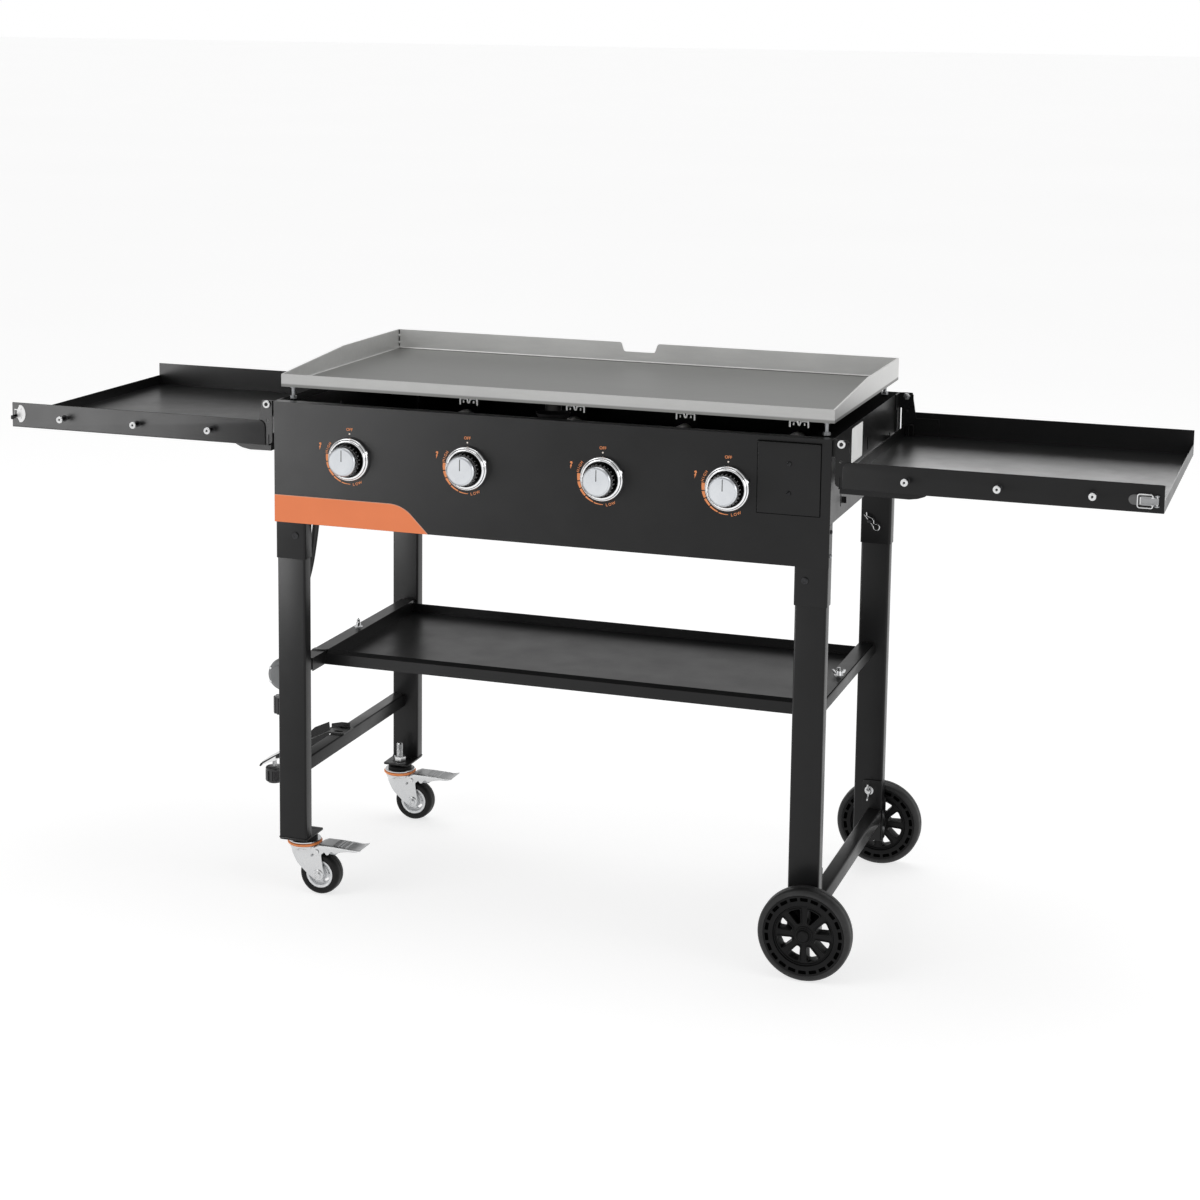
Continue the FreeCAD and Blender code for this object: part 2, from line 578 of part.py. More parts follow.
for i, x in enumerate(KNOB_X, start=1):
    # the knob is turned about its own axis: skirt, cap and a bore for the stem
    b = body("knob_%d" % i)
    s = xz(b, "-$bodyFront-6.5")
    ring(s, x, K["knobZ"], K["knobR"], "$knobR")
    pad(b, s, "$knobFace-$bodyFront-6.5-9")
    s = xz(b, "-$knobFace+9")
    ring(s, x, K["knobZ"], K["capR"], "$capR")
    pad(b, s, 9.0)
    s = xz(b, "-$bodyFront-6")
    ring(s, x, K["knobZ"], 4.05)
    pocket(b, s, 20.5, reverse=True)
    grips = b.newObject("PartDesign::Pocket", uid("Flutes"))
    s2 = xz(b, "-$bodyFront-6")
    for kk in range(24):
        aa = math.radians(kk * 15)
        ring(s2, x + 26.6 * math.cos(aa), K["knobZ"] + 26.6 * math.sin(aa), 2.2)
    grips.Profile = s2
    grips.Length = 30.0
    grips.Reversed = True
    node("knob_%d" % i, b)
    stem = fuse(cyl(x, -268.0, "$knobZ", "$stemR", 40.0, "y"), cyl(x, -239.0, "$knobZ", 6.0, 3.0, "y"))
    node("valve_stem_%d" % i, stem)

valves = []
for x in KNOB_X:
    block = box(x - 13, x + 13, -234.0, -208.0, "$manifoldZ+$manifoldR-0.5", "$knobZ+14")
    nose = cyl(x, -208.0, "$knobZ", 5.0, 14.0, "y")
    tip = cyl(x, -194.0, "$knobZ", 3.5, 8.0, "y")
    valves.append(cut(fuse(block, nose, tip), cyl(x, -235.0, "$knobZ", "$stemR+0.05", 9.0, "y")))
pipe_hole = cyl(-420.0, "-$manifoldY", "$manifoldZ", "$manifoldR", 900.0, "x")
node("gas_valves", cut(group(*valves), pipe_hole))
pipe = cyl(-394.0, "-$manifoldY", "$manifoldZ", "$manifoldR", 744.0, "x")
cap = cyl(350.0, "-$manifoldY", "$manifoldZ", 10.5, 12.0, "x", sides=6)
elbow = fuse(cyl(-402.0, "-$manifoldY", "$manifoldZ", 9.5, 22.0, "x"), cyl(-394.0, "-$manifoldY", "$manifoldZ-26", 9.0, 26.0),
             cyl(-394.0, "-$manifoldY", "$manifoldZ-38", 8.0, 14.0, sides=6))
node("gas_manifold", fuse(pipe, cap, elbow))


def burner(x_in, x):
    """A stainless tube burner along Y: a mixing throat at the valve's line, bent over to the burner's own line."""
    r = K["burnerR"]
    z = K["knobZ"]
    if abs(x_in - x) < 0.5:
        pts = [V3(x, -190, z), V3(x, 196, z)]
        wire = Part.Wire([Part.LineSegment(pts[0], pts[1]).toShape()])
    else:
        dx, dy = x - x_in, 95.0
        ang = math.atan2(dx, dy)
        rad = 120.0
        cut_len = rad * math.tan(abs(ang) / 2)
        a = V3(x_in, -190, z)
        p = V3(x_in, -150, z)
        q = V3(x, -150 + dy, z)
        e = V3(x, 196, z)
        d = (q - p).normalize()

        def arc(p0, c, p1):
            u0, u1 = (p0 - c), (p1 - c)
            mid = u0 + u1
            mid.normalize()
            return Part.Arc(p0, c + mid * u0.Length, p1).toShape()
        p0, p1 = p - V3(0, 1, 0) * cut_len, p + d * cut_len
        q0, q1 = q - d * cut_len, q + V3(0, 1, 0) * cut_len
        side = V3(d.y, -d.x, 0) if dx > 0 else V3(-d.y, d.x, 0)
        c1 = p1 + side * rad
        c2 = q0 - side * rad
        wire = Part.Wire([Part.LineSegment(a, p0).toShape(), arc(p0, c1, p1), Part.LineSegment(p1, q0).toShape(),
                          arc(q0, c2, q1), Part.LineSegment(q1, e).toShape()])
    start = wire.Edges[0].Vertexes[0].Point
    outer = wire.makePipeShell([Part.Wire(Part.Circle(start, V3(0, 1, 0), r).toShape())], True, False)
    inner = wire.makePipeShell([Part.Wire(Part.Circle(start, V3(0, 1, 0), r - 1.2).toShape())], True, False)
    back = Part.makeCylinder(r + 1, 4, V3(x, 193, z), V3(0, 1, 0))
    stub = Part.makeCylinder(3, 6, V3(x, 193.4, z), V3(0, 1, 0))
    return outer.cut(inner.cut(back)).fuse(stub)


tubes = []
for i, (xi, x) in enumerate(zip(KNOB_X, BURNER_X), start=1):
    o = doc.addObject("Part::Feature", "Burner%d" % i)
    o.Shape = burner(xi, x)
    o.Placement = FreeCAD.Placement(V3(0, 0, 0), FreeCAD.Rotation())
    tubes.append(o)
node("burners", group(*tubes))

# Back rail that carries the burners' far ends, with a two-arched clip over each.
b = body("burner_rail")
s = xz(b, 199.4)
rect(s, -455.0, 455.0, K["sideLow"] + 2 * K["sheetT"], 733.0)
pad(b, s, 1.6)
for x in BURNER_X:
    s = xz(b, 199.4)
    pts = [(x - 20, 733), (x - 20, 778), (x - 16, 782), (x - 4, 782), (x - 2, 777), (x + 2, 777), (x + 4, 782), (x + 16, 782), (x + 20, 778), (x + 20, 733)]
    poly(s, pts)
    pad(b, s, 1.6)
s = xz(b, 204.0)
for x in BURNER_X:
    for dx in (-9.5, 9.5):
        ring(s, x + dx, 771.0, 5.0)
pocket(b, s, 10.0, both=True)
s = xz(b, 204.0)
for x in BURNER_X:
    ring(s, x, K["knobZ"], 3.0)
pocket(b, s, 20.0, both=True)
node("burner_rail", b)

ign = []
for x in KNOB_X:
    ign.append(fuse(cyl(x + 25, "-$shieldBack-14", "$knobZ+10", 3.2, 46.0, "y"), cyl(x + 25, "-$shieldBack+32", "$knobZ+10", 1.0, 10.0, "y")))
node("igniter_electrodes", group(*ign))

# Sheet plate with a folded top lip, screwed to the right of the control panel.
node("accessory_plate", fuse(box(346.0, 443.0, "-$bodyFront-1.2", "-$bodyFront", 716.0, 826.0),
                             box(346.0, 443.0, "-$bodyFront-8", "-$bodyFront", 824.8, 826.0)))

# ---------------------------------------------------------------------------
# Casters under the left legs
# ---------------------------------------------------------------------------
stems = []
for sy in (-1, 1):
    y = "%d*$castY" % sy
    stems.append(fuse(cyl("-$castX", y, 88.0, 6.0, 50.0), cyl("-$castX", y, "$footTop", 11.0, 9.0, sides=6),
                      cyl("-$castX", y, 91.0, 11.0, "$footTop-$footT-91"), cyl("-$castX", y, 88.0, 27.0, 3.2),
                      cyl("-$castX", y, 79.0, 5.0, 10.0), cyl("-$castX", y, 76.8, 9.0, 2.6)))
    stems.append(cut(cyl("-$castX", y, 84.4, 29.0, 3.6), cyl("-$castX", y, 83.0, 22.0, 6.0)))
node("caster_stems", group(*stems))

for name, sy in (("front", -1), ("rear", 1)):
    cx, cy = -K["castX"], sy * K["castY"]
    hub = cx + K["castTrail"]
    # fork: round top plate, two cheeks that trail to the hub, axle and brake rivets
    b = body("caster_fork_" + name)
    s = xy(b, 79.8)
    ring(s, cx, cy, 26.0)
    ring(s, cx, cy, 5.06)
    pad(b, s, 4.2)
    for g in (-1, 1):
        s = xz(b, cy + (17.5 if g > 0 else -15.5))
        poly(s, [(cx + a, z) for a, z in ((-22, 82), (22, 82), (30, 79), (38, 74), (38, 62), (41, 42), (40, 31), (36, 26),
                                          (27, 26), (22, 30), (10, 50), (-12, 65), (-22, 76))])
        pad(b, s, 2.0)
    for px, pz, pr, half, hr in ((hub, K["castR"], 4.0, 20.5, 6.5), (cx + 30, 76.0, 2.5, 21.6, 4.0)):
        s = xz(b, cy + half)
        ring(s, px, pz, pr)
        pad(b, s, 2 * half)
        for g in (-1, 1):
            if pr > 3:
                s = xz(b, cy + (half if g > 0 else -17.4))
                ring(s, px, pz, hr)
                pad(b, s, half - 17.4)
            else:
                s = xz(b, cy + (half if g > 0 else -20.4))
                ring(s, px, pz, hr)
                pad(b, s, half - 20.4)
    node("caster_fork_" + name, b)

    # rim: hub, web and bead, turned about the axle
    b = body("caster_rim_" + name)
    s = xz(b, cy + 15.0)
    ring(s, hub, K["castR"], 9.0)
    ring(s, hub, K["castR"], 4.05)
    pad(b, s, 30.0)
    s = xz(b, cy + 4.0)
    ring(s, hub, K["castR"], 24.0)
    ring(s, hub, K["castR"], 4.05)
    pad(b, s, 8.0)
    s = xz(b, cy + 11.0)
    ring(s, hub, K["castR"], 24.0)
    ring(s, hub, K["castR"], 19.5)
    pad(b, s, 22.0)
    node("caster_rim_" + name, b)

    t1 = cyl(hub, cy - 9.0, "$castR", "$castR", 18.0, "y")
    t2 = cone(hub, cy + 9.0, "$castR", "$castR", "$castR-3", 4.0, "y")
    t3 = cone(hub, cy - 9.0, "$castR", "$castR", "$castR-3", 4.0, "-y")
    node("caster_tyre_" + name, cut(fuse(t1, t2, t3), cyl(hub, cy - 20.0, "$castR", 24.0, 40.0, "y")))

    # brake pedal: two cheeks on the rivet, tread plate and shoe
    b = body("brake_pedal_" + name)
    for g in (-1, 1):
        s = xz(b, cy + (19.8 if g > 0 else -18.2))
        poly(s, [(cx + a, z) for a, z in ((24, 72), (28, 69.5), (36, 70), (52, 77), (66, 76), (84, 82), (106, 84), (109, 87),
                                          (109, 89), (34, 88.5), (25, 83))])
        pad(b, s, 1.6)
    s = xz(b, cy + 19.8)
    poly(s, [(cx + a, z) for a, z in ((34, 86), (88, 86.5), (109, 86), (109, 88.5), (34, 88.5))])
    pad(b, s, 39.6)
    s = xz(b, cy + 11.0)
    poly(s, [(cx + a, z) for a, z in ((46, 71), (62, 71), (62, 87), (46, 87))])
    pad(b, s, 22.0)
    s = xz(b, cy)
    ring(s, cx + 30, 76.0, 2.56)
    pocket(b, s, 50.0, both=True)
    node("brake_pedal_" + name, b)

# ---------------------------------------------------------------------------
# Wheels on the right legs: moulded in one piece, eight spokes and a row of
# short slots in the rim
# ---------------------------------------------------------------------------
for name, sy in (("front", -1), ("rear", 1)):
    near, far = ("-$wheelOut+$wheelW", "-$wheelOut") if sy < 0 else ("$wheelOut", "$wheelOut-$wheelW")
    yb = (-K["wheelOut"] + K["wheelW"]) if sy < 0 else K["wheelOut"]
    b = body("wheel_" + name)
    s = xz(b, yb - 3.0)
    ring(s, K["wheelX"], K["wheelR"], K["wheelR"], "$wheelR")
    pad(b, s, "$wheelW-6")
    s = xz(b, near)
    ring(s, K["wheelX"], K["wheelR"], K["wheelR"] - 4.0)
    pad(b, s, "$wheelW")
    for back, depth in ((yb, 9.0), (yb - K["wheelW"] + 9.0, 9.0)):
        s = xz(b, back)
        ring(s, K["wheelX"], K["wheelR"], 47.0)
        ring(s, K["wheelX"], K["wheelR"], 18.0)
        pocket(b, s, depth, reverse=True)
    s = xz(b, yb + 1.0)
    for kk in range(8):
        mid = math.radians(kk * 45 + 22.5)
        pts = []
        for r, da in ((22.0, -0.30), (43.0, -0.30), (43.0, 0.30), (22.0, 0.30)):
            pts.append((K["wheelX"] + r * math.cos(mid + da), K["wheelR"] + r * math.sin(mid + da)))
        poly(s, pts)
    pocket(b, s, "$wheelW+2", reverse=True)
    s = xz(b, yb + 1.0)
    ring(s, K["wheelX"], K["wheelR"], 5.05)
    pocket(b, s, "$wheelW+2", reverse=True)
    s = xz(b, (yb + 1.0) if sy > 0 else (yb - K["wheelW"] + 2.0))
    ring(s, K["wheelX"], K["wheelR"], 18.5)
    pocket(b, s, 3.0, reverse=True)
    node("wheel_" + name, b)

axles = []
for sy in (-1, 1):
    d = "y" if sy > 0 else "-y"
    axles.append(fuse(cyl("$wheelX", sy * 240.0, "$wheelR", "$axleR", 46.5, d),
                      cyl("$wheelX", sy * 249.1, "$wheelR", 10.0, 7.4, d),
                      cyl("$wheelX", sy * 285.5, "$wheelR", 9.0, 4.0, d, sides=6) if sy > 0 else cyl("$wheelX", -289.5, "$wheelR", 9.0, 4.0, "y", sides=6),
                      cyl("$wheelX", sy * 240.0, "$wheelR", 9.0, 6.1, d, sides=6)))
node("axle_bolts", group(*axles))

# ---------------------------------------------------------------------------
# Folding side shelves: each swings over the plate to make half of its lid
# ---------------------------------------------------------------------------
for name, g in (("side_shelf_right", 1), ("side_shelf_left", -1)):
    b = body(name)
    lo_x, hi_x = ("$trayIn", "$trayOut") if g > 0 else ("-$trayOut", "-$trayIn")
    s = xy(b, "$trayLow")
    rect(s, min(g * K["trayIn"], g * K["trayOut"]), max(g * K["trayIn"], g * K["trayOut"]), -K["trayFront"], K["trayRear"],
         (lo_x, hi_x, "-$trayFront", "$trayRear"))
    pad(b, s, "$trayT")
    flange = [(477, K["trayLow"]), (K["trayOut"], K["trayLow"]), (K["trayOut"], K["trayTop"]), (486, K["trayTop"]), (477, K["trayTop"] - 11)]
    for back in ("-$trayFront+$trayT", "$trayRear"):
        s = xz(b, back)
        poly(s, [(g * u, v) for u, v in flange])
        pad(b, s, "$trayT")
    for start, lip in (("$trayOut-$trayT" if g > 0 else "-$trayOut", "trayLip"), ("$trayIn" if g > 0 else "-$trayIn-$trayT", "trayLipIn")):
        s = yz(b, start)
        rect(s, -K["trayFront"], K["trayRear"], K["trayLow"], K[lip], ("-$trayFront", "$trayRear", "$trayLow", "$" + lip))
        pad(b, s, "$trayT")
    hinge = [(464, 768), (465.5, 765), (468.5, 763), (470.6, 763), (470.6, K["trayLow"] + 0.6), (528, K["trayLow"] + 0.6), (528, 791), (489, 791), (482, 834), (464, 834)]
    for back in ("-$trayFront+$trayT+2", "$trayRear-$trayT"):
        s = xz(b, back)
        poly(s, [(g * u, v) for u, v in hinge])
        pad(b, s, 2.0)
    for back in (-208.0, 244.0):
        s = xz(b, back)
        support = ((470, 760.2), (470, 751.5), (575, 750.5), (588, 752.5), (598, 756), (604, 760.2)) if g > 0 else ((470, 760.2), (470, 750.5), (508, 750), (522, 752.5), (531, 756.5), (537, 760.2))
        poly(s, [(g * u, v) for u, v in support])
        pad(b, s, 30.0)
    s = xz(b, "$trayRear+5")
    ring(s, g * K["pivotX"], K["pivotZ"], K["boltR"] + 0.08)
    ring(s, g * (K["pivotX"] - 0.5), K["pivotZ"] - 26.5, 2.4)
    pocket(b, s, 1200.0, both=True)
    node(name, b)
    hk = []
    for x in (572.0, 708.0, 845.0):
        hk.append(fuse(cyl(g * x, "-$trayFront", "$hookZ", 3.0, "$hookOut", "-y"),
                       cyl(g * x, "-$trayFront-$hookOut+3.5", "$hookZ", 6.4, 3.5, "-y"),
                       cyl(g * x, "-$trayFront", "$hookZ", 5.0, 2.0, "-y")))
    node("tool_hooks_" + ("right" if g > 0 else "left"), group(*hk))

bolts = []
for g in (-1, 1):
    x = "%d*$pivotX" % g
    bolts.append(fuse(cyl(x, -246.2, "$pivotZ", 6.0, 3.6, "-y"), cyl(x, -246.2, "$pivotZ", "$boltR", 8.4, "y"), cyl(x, -241.4, "$pivotZ", 6.0, 4.0, "y", sides=6)))
    bolts.append(fuse(cyl(x, 252.2, "$pivotZ", 6.0, 3.6, "y"), cyl(x, 252.2, "$pivotZ", "$boltR", 8.8, "-y"), cyl(x, 243.0, "$pivotZ", 6.0, 4.0, "y", sides=6)))
for z in (748.6, 793.7):
    bolts.append(cyl(394.5, "-$bodyFront-1.2", z, 4.0, 2.2, "-y"))
node("hinge_bolts", group(*bolts))

# Toggle latch on the right shelf's front flange: base, lever and wire bail.
LZ = 778.0
base = fuse(box(898.0, 937.0, "-$trayFront-1.4", "-$trayFront", LZ - 7.8, LZ + 7.8), cyl(898.0, "-$trayFront", LZ, 7.8, 1.4, "-y"),
            box(931.0, 938.5, -254.2, -248.0, LZ - 8.2, LZ - 6.8), box(931.0, 938.5, -254.2, -248.0, LZ + 6.8, LZ + 8.2),
            cyl(935.0, -251.5, LZ - 8.2, 1.5, 16.4))
node("latch_base", base)
lug = [box(926.5, 931.5, -257.0, -254.0, LZ + a, LZ + a + 1.3) for a in (-6.2, 4.9)]
lever = fuse(box(907.0, 934.0, -254.1, -252.7, LZ - 6.3, LZ + 6.3), cyl(935.0, -251.5, LZ - 6.3, 2.6, 12.6), *lug)
lever = cut(lever, cyl(935.0, -251.5, LZ - 8, 1.56, 16.0), cyl(929.0, -255.5, LZ - 8, 1.03, 16.0))
node("latch_lever", lever)
w = 0.95
bail = fuse(cyl(929.0, -255.5, LZ - 10.2, w, 5.3), cyl(929.0, -255.5, LZ + 4.9, w, 5.3),
            cyl(902.5, -255.5, LZ - 10.2, w, 26.5, "x"), cyl(902.5, -255.5, LZ + 10.2, w, 26.5, "x"),
            cyl(902.5, -255.5, LZ - 10.2, w, 20.4))
node("latch_bail", bail)
# Keeper for the bail on the left shelf: half-round plate with a bent hook.
keeper = fuse(cut(cyl(-936.0, "-$trayFront", LZ + 5, 13.0, 1.4, "-y"), box(-960.0, -939.0, -260.0, -240.0, LZ - 20, LZ + 30)),
              box(-939.5, -938.3, -257.5, "-$trayFront", LZ - 4, LZ + 4), box(-939.5, -934.5, -257.5, -256.3, LZ - 4, LZ + 4))
node("strike_plate", keeper)

# ---------------------------------------------------------------------------
# Gas tank holder on the lower left crossbar: sloping arm and hand screw
# ---------------------------------------------------------------------------
b = body("tank_arm")
s = xz(b, -8.0)
poly(s, [(-430, 226.5), (-460, 226.5), (-560, 174), (-586, 158), (-592, 151), (-590, 149.5), (-584.5, 155.6), (-561, 171), (-461, 223.5), (-430, 223.5)])
pad(b, s, 40.0)
s = xz(b, -8.0)     # back edge turned up, with a notch
poly(s, [(-436, 225), (-460, 225), (-520, 193.5), (-520, 203), (-503, 219), (-476, 231.5), (-475, 221), (-471, 223), (-471, 229), (-452, 233.5), (-436, 233.5)])
pad(b, s, 1.6)
s = xz(b, -46.4)    # front edge turned down outside the crossbar
poly(s, [(-458, 224.5), (-461, 223.6), (-560.5, 171.2), (-560, 167), (-520, 179), (-470, 200), (-458, 203)])
pad(b, s, 1.6)
s = xy(b, 221.0)
for yy in (-39.0, -17.0):
    n = s.GeometryCount
    s.addGeometry(Part.LineSegment(V3(-448, yy - 4, 0), V3(-440, yy - 4, 0)), False)
    s.addGeometry(Part.ArcOfCircle(Part.Circle(V3(-440, yy, 0), V3(0, 0, 1), 4.0), -math.pi / 2, math.pi / 2), False)
    s.addGeometry(Part.LineSegment(V3(-440, yy + 4, 0), V3(-448, yy + 4, 0)), False)
    s.addGeometry(Part.ArcOfCircle(Part.Circle(V3(-448, yy, 0), V3(0, 0, 1), 4.0), math.pi / 2, 1.5 * math.pi), False)
pocket(b, s, 8.0, reverse=True)
s = xy(b, 100.0)
ring(s, -572.0, -28.0, 4.08)
pocket(b, s, 120.0, reverse=True)
node("tank_arm", b)
knob = fuse(cyl(-572.0, -28.0, 118.0, 16.0, 29.0, sides=12), cyl(-572.0, -28.0, 140.0, 4.0, 26.0))
node("tank_clamp_screw", knob)

# ---------------------------------------------------------------------------
# Grease path: funnel under the spout, down tube, sloping gutter, and a cup
# that slides on two hanger rails under the firebox floor
# ---------------------------------------------------------------------------
fun = cut(fuse(cone(0.0, "-$drainY", 815.0, 15.0, 28.0, 23.0), cyl(0.0, "-$drainY", 684.0, 15.0, 131.5)),
          cone(0.0, "-$drainY", 815.0, 13.6, 26.8, 23.1), cyl(0.0, "-$drainY", 680.0, 13.6, 136.0))
g1 = Part.Wire(Part.makePolygon([V3(0, -216, 684), V3(0, -16, 640), V3(0, -16, 641.4), V3(0, -216, 685.4), V3(0, -216, 684)]))
g2 = Part.Wire(Part.makePolygon([V3(0, -216, 684), V3(0, -16, 640), V3(0, -16, 654), V3(0, -216, 698), V3(0, -216, 684)]))


def slab(wire, x0, width):
    f = Part.Face(wire)
    f.translate(V3(x0, 0, 0))
    return f.extrude(V3(width, 0, 0))


gut = doc.addObject("Part::Feature", "Gutter")
gut.Shape = slab(g1, -18.0, 36.0).fuse([slab(g2, -18.0, 1.4), slab(g2, 16.6, 1.4)]).removeSplitter()
gut.Placement = FreeCAD.Placement(V3(0, 0, 0), FreeCAD.Rotation())
rails = []
for g in (-1, 1):
    a = ("62.0", "63.4") if g > 0 else ("-63.4", "-62.0")
    c = ("57.0", "63.4") if g > 0 else ("-63.4", "-57.0")
    rails += [box(a[0], a[1], -175.0, 62.0, 626.6, "$sideLow+$sheetT"), box(c[0], c[1], -175.0, 62.0, 626.6, 628.0)]
ties = [box(-63.0, -17.0, -60.0, -58.0, 652.0, 668.0), box(17.0, 63.0, -60.0, -58.0, 652.0, 668.0)]
node("grease_chute", fuse(fun, gut, *(rails + ties)))

cup = cut(fuse(box(-55.0, 55.0, -60.0, 60.0, "$cupLow", "$cupTop-2"), box(-61.4, 61.4, -62.0, 62.0, "$cupTop-3.6", "$cupTop-2.4"),
               box(-20.0, 20.0, -76.0, -60.0, "$cupTop-3.6", "$cupTop-2.4")),
          box(-54.0, 54.0, -59.0, 59.0, "$cupLow+1", "$cupTop+2"))
node("grease_cup", cup)

# ---------------------------------------------------------------------------
# Gas hose: runs joined by tangent arcs, from the elbow down behind the leg to
# the regulator that hangs at its end
# ---------------------------------------------------------------------------
HOSE_R = 5.5
ROUTE = [V3(-394, -226, 683), V3(-394, -226, 654), V3(-408, -205, 612), V3(-423, -194, 548), V3(-444, -188, 492), V3(-474, -185, 448), V3(-474, -185, 408)]


def hose_path(points):
    edges, last, radii = [], points[0], []
    for i in range(1, len(points) - 1):
        p0, p1, p2 = points[i - 1], points[i], points[i + 1]
        u, v = (p0 - p1), (p2 - p1)
        run = min(u.Length, v.Length)
        u.normalize()
        v.normalize()
        turn = math.pi - u.getAngle(v)
        keep = 0.45 * run
        rad = keep / math.tan(turn / 2)
        radii.append(rad)
        a, c = p1 + u * keep, p1 + v * keep
        m = u + v
        m.normalize()
        centre = p1 + m * (rad / math.cos(turn / 2))
        mid = centre - m * rad
        edges.append(Part.LineSegment(last, a).toShape())
        edges.append(Part.Arc(a, mid, c).toShape())
        last = c
    edges.append(Part.LineSegment(last, points[-1]).toShape())
    return Part.Wire(edges), radii


wire, radii = hose_path(ROUTE)
print("hose arc radii", [round(r, 1) for r in radii], "length", round(wire.Length, 1))
tube = wire.makePipeShell([Part.Wire(Part.Circle(ROUTE[0], ROUTE[1] - ROUTE[0], HOSE_R).toShape())], True, False)
print("hose volume / section x length", round(tube.Volume / (math.pi * HOSE_R ** 2 * wire.Length), 4))
o = doc.addObject("Part::Feature", "Hose")
o.Shape = tube
o.Placement = FreeCAD.Placement(V3(0, 0, 0), FreeCAD.Rotation())
node("gas_hose", o)

reg = fuse(cyl(-474.0, -185.0, 392.0, 8.5, 16.0, sides=6), cyl(-474.0, -185.0, 384.0, 7.0, 12.0),
           cyl(-474.0, -199.0, 364.0, 27.0, 28.0, "y"), cyl(-474.0, -203.0, 364.0, 18.0, 6.0, "y"),
           cyl(-474.0, -185.0, 326.0, 8.0, 16.0), cyl(-474.0, -185.0, 298.0, 19.0, 30.0, sides=12),
           cyl(-474.0, -185.0, 290.0, 10.0, 10.0))
node("regulator", reg)

# ---------------------------------------------------------------------------
# Check every object, then write one file for each piece
# ---------------------------------------------------------------------------
doc.recompute()
bad = [o.Name for o in doc.Objects if "Invalid" in o.State or "Error" in o.State]
if bad:
    raise SystemExit("objects left failed: %s" % bad)
for name, obj in made.items():
    shp = obj.Shape
    if shp.isNull() or not shp.isValid():
        raise SystemExit("bad shape: %s" % name)
print(len(made), "pieces")
for name, obj in made.items():
    obj.Shape.exportStep(os.path.join("parts", name + ".step"))
    bb = obj.Shape.BoundBox
    print("%-22s solids %2d volume %9.1f cm3  x %7.1f %7.1f  y %7.1f %7.1f  z %7.1f %7.1f" % (
        name, len(obj.Shape.Solids), obj.Shape.Volume / 1000, bb.XMin, bb.XMax, bb.YMin, bb.YMax, bb.ZMin, bb.ZMax))
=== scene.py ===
import json
import math
import bpy
import bmesh
from mathutils import Vector, Matrix

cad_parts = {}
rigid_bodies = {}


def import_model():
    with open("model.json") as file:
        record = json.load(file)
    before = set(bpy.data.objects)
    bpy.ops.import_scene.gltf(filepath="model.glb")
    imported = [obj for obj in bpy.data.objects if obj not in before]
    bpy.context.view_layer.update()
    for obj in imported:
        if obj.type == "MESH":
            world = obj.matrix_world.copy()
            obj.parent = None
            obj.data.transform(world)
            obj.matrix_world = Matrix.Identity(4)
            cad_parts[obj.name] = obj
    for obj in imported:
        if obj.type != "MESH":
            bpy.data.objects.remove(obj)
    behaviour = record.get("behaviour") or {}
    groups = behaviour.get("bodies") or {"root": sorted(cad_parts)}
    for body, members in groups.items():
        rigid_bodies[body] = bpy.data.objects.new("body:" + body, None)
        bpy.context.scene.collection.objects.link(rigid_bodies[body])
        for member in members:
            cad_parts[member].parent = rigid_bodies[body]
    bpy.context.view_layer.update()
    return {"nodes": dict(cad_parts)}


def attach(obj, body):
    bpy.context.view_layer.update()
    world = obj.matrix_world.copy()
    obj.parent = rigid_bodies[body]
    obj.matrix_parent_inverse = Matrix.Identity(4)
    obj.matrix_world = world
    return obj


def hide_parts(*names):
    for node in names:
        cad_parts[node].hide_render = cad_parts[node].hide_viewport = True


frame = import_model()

nodes = frame["nodes"]
scene = bpy.context.scene
MM = 0.001
X, Y, Z = Vector((1, 0, 0)), Vector((0, 1, 0)), Vector((0, 0, 1))

# ---------------------------------------------------------------- camera
def make_camera():
    data = bpy.data.cameras.new("camera")
    cam = bpy.data.objects.new("camera", data)
    scene.collection.objects.link(cam)
    data.sensor_width = 36.0
    data.sensor_fit = "HORIZONTAL"
    data.lens = 2365.2 / 1200 * 36
    data.shift_y = -0.20
    data.clip_start, data.clip_end = 0.05, 200
    yaw, pitch, roll = math.radians(18.501), math.radians(8.179), math.radians(0.74)
    f = Vector((-math.sin(yaw) * math.cos(pitch), math.cos(yaw) * math.cos(pitch), -math.sin(pitch)))
    r = Vector((math.cos(yaw), math.sin(yaw), 0))
    u = r.cross(f)
    r2 = math.cos(roll) * r + math.sin(roll) * u
    u2 = -math.sin(roll) * r + math.cos(roll) * u
    c = Vector((1.2298, -3.6450, 1.4478))
    cam.matrix_world = Matrix(((r2.x, u2.x, -f.x, c.x), (r2.y, u2.y, -f.y, c.y), (r2.z, u2.z, -f.z, c.z), (0, 0, 0, 1)))
    scene.camera = cam


make_camera()
scene.view_settings.view_transform = "Standard"
scene.view_settings.look = "None"

# ---------------------------------------------------------------- materials
def new_mat(name):
    m = bpy.data.materials.new(name)
    m.use_nodes = True
    nt = m.node_tree
    b = nt.nodes["Principled BSDF"]
    return m, nt, b


def add(nt, kind, **values):
    n = nt.nodes.new(kind)
    for k, v in values.items():
        if k.startswith("in_"):
            n.inputs[k[3:].replace("_", " ")].default_value = v
        else:
            setattr(n, k, v)
    return n


def coords(nt, scale=(1, 1, 1)):
    c = add(nt, "ShaderNodeTexCoord")
    m = add(nt, "ShaderNodeMapping")
    m.inputs["Scale"].default_value = scale
    nt.links.new(c.outputs["Object"], m.inputs["Vector"])
    return m.outputs["Vector"]


def noise(nt, vec, scale, detail=3.0, rough=0.5):
    n = add(nt, "ShaderNodeTexNoise")
    n.inputs["Scale"].default_value = scale
    n.inputs["Detail"].default_value = detail
    n.inputs["Roughness"].default_value = rough
    nt.links.new(vec, n.inputs["Vector"])
    return n.outputs["Fac"]


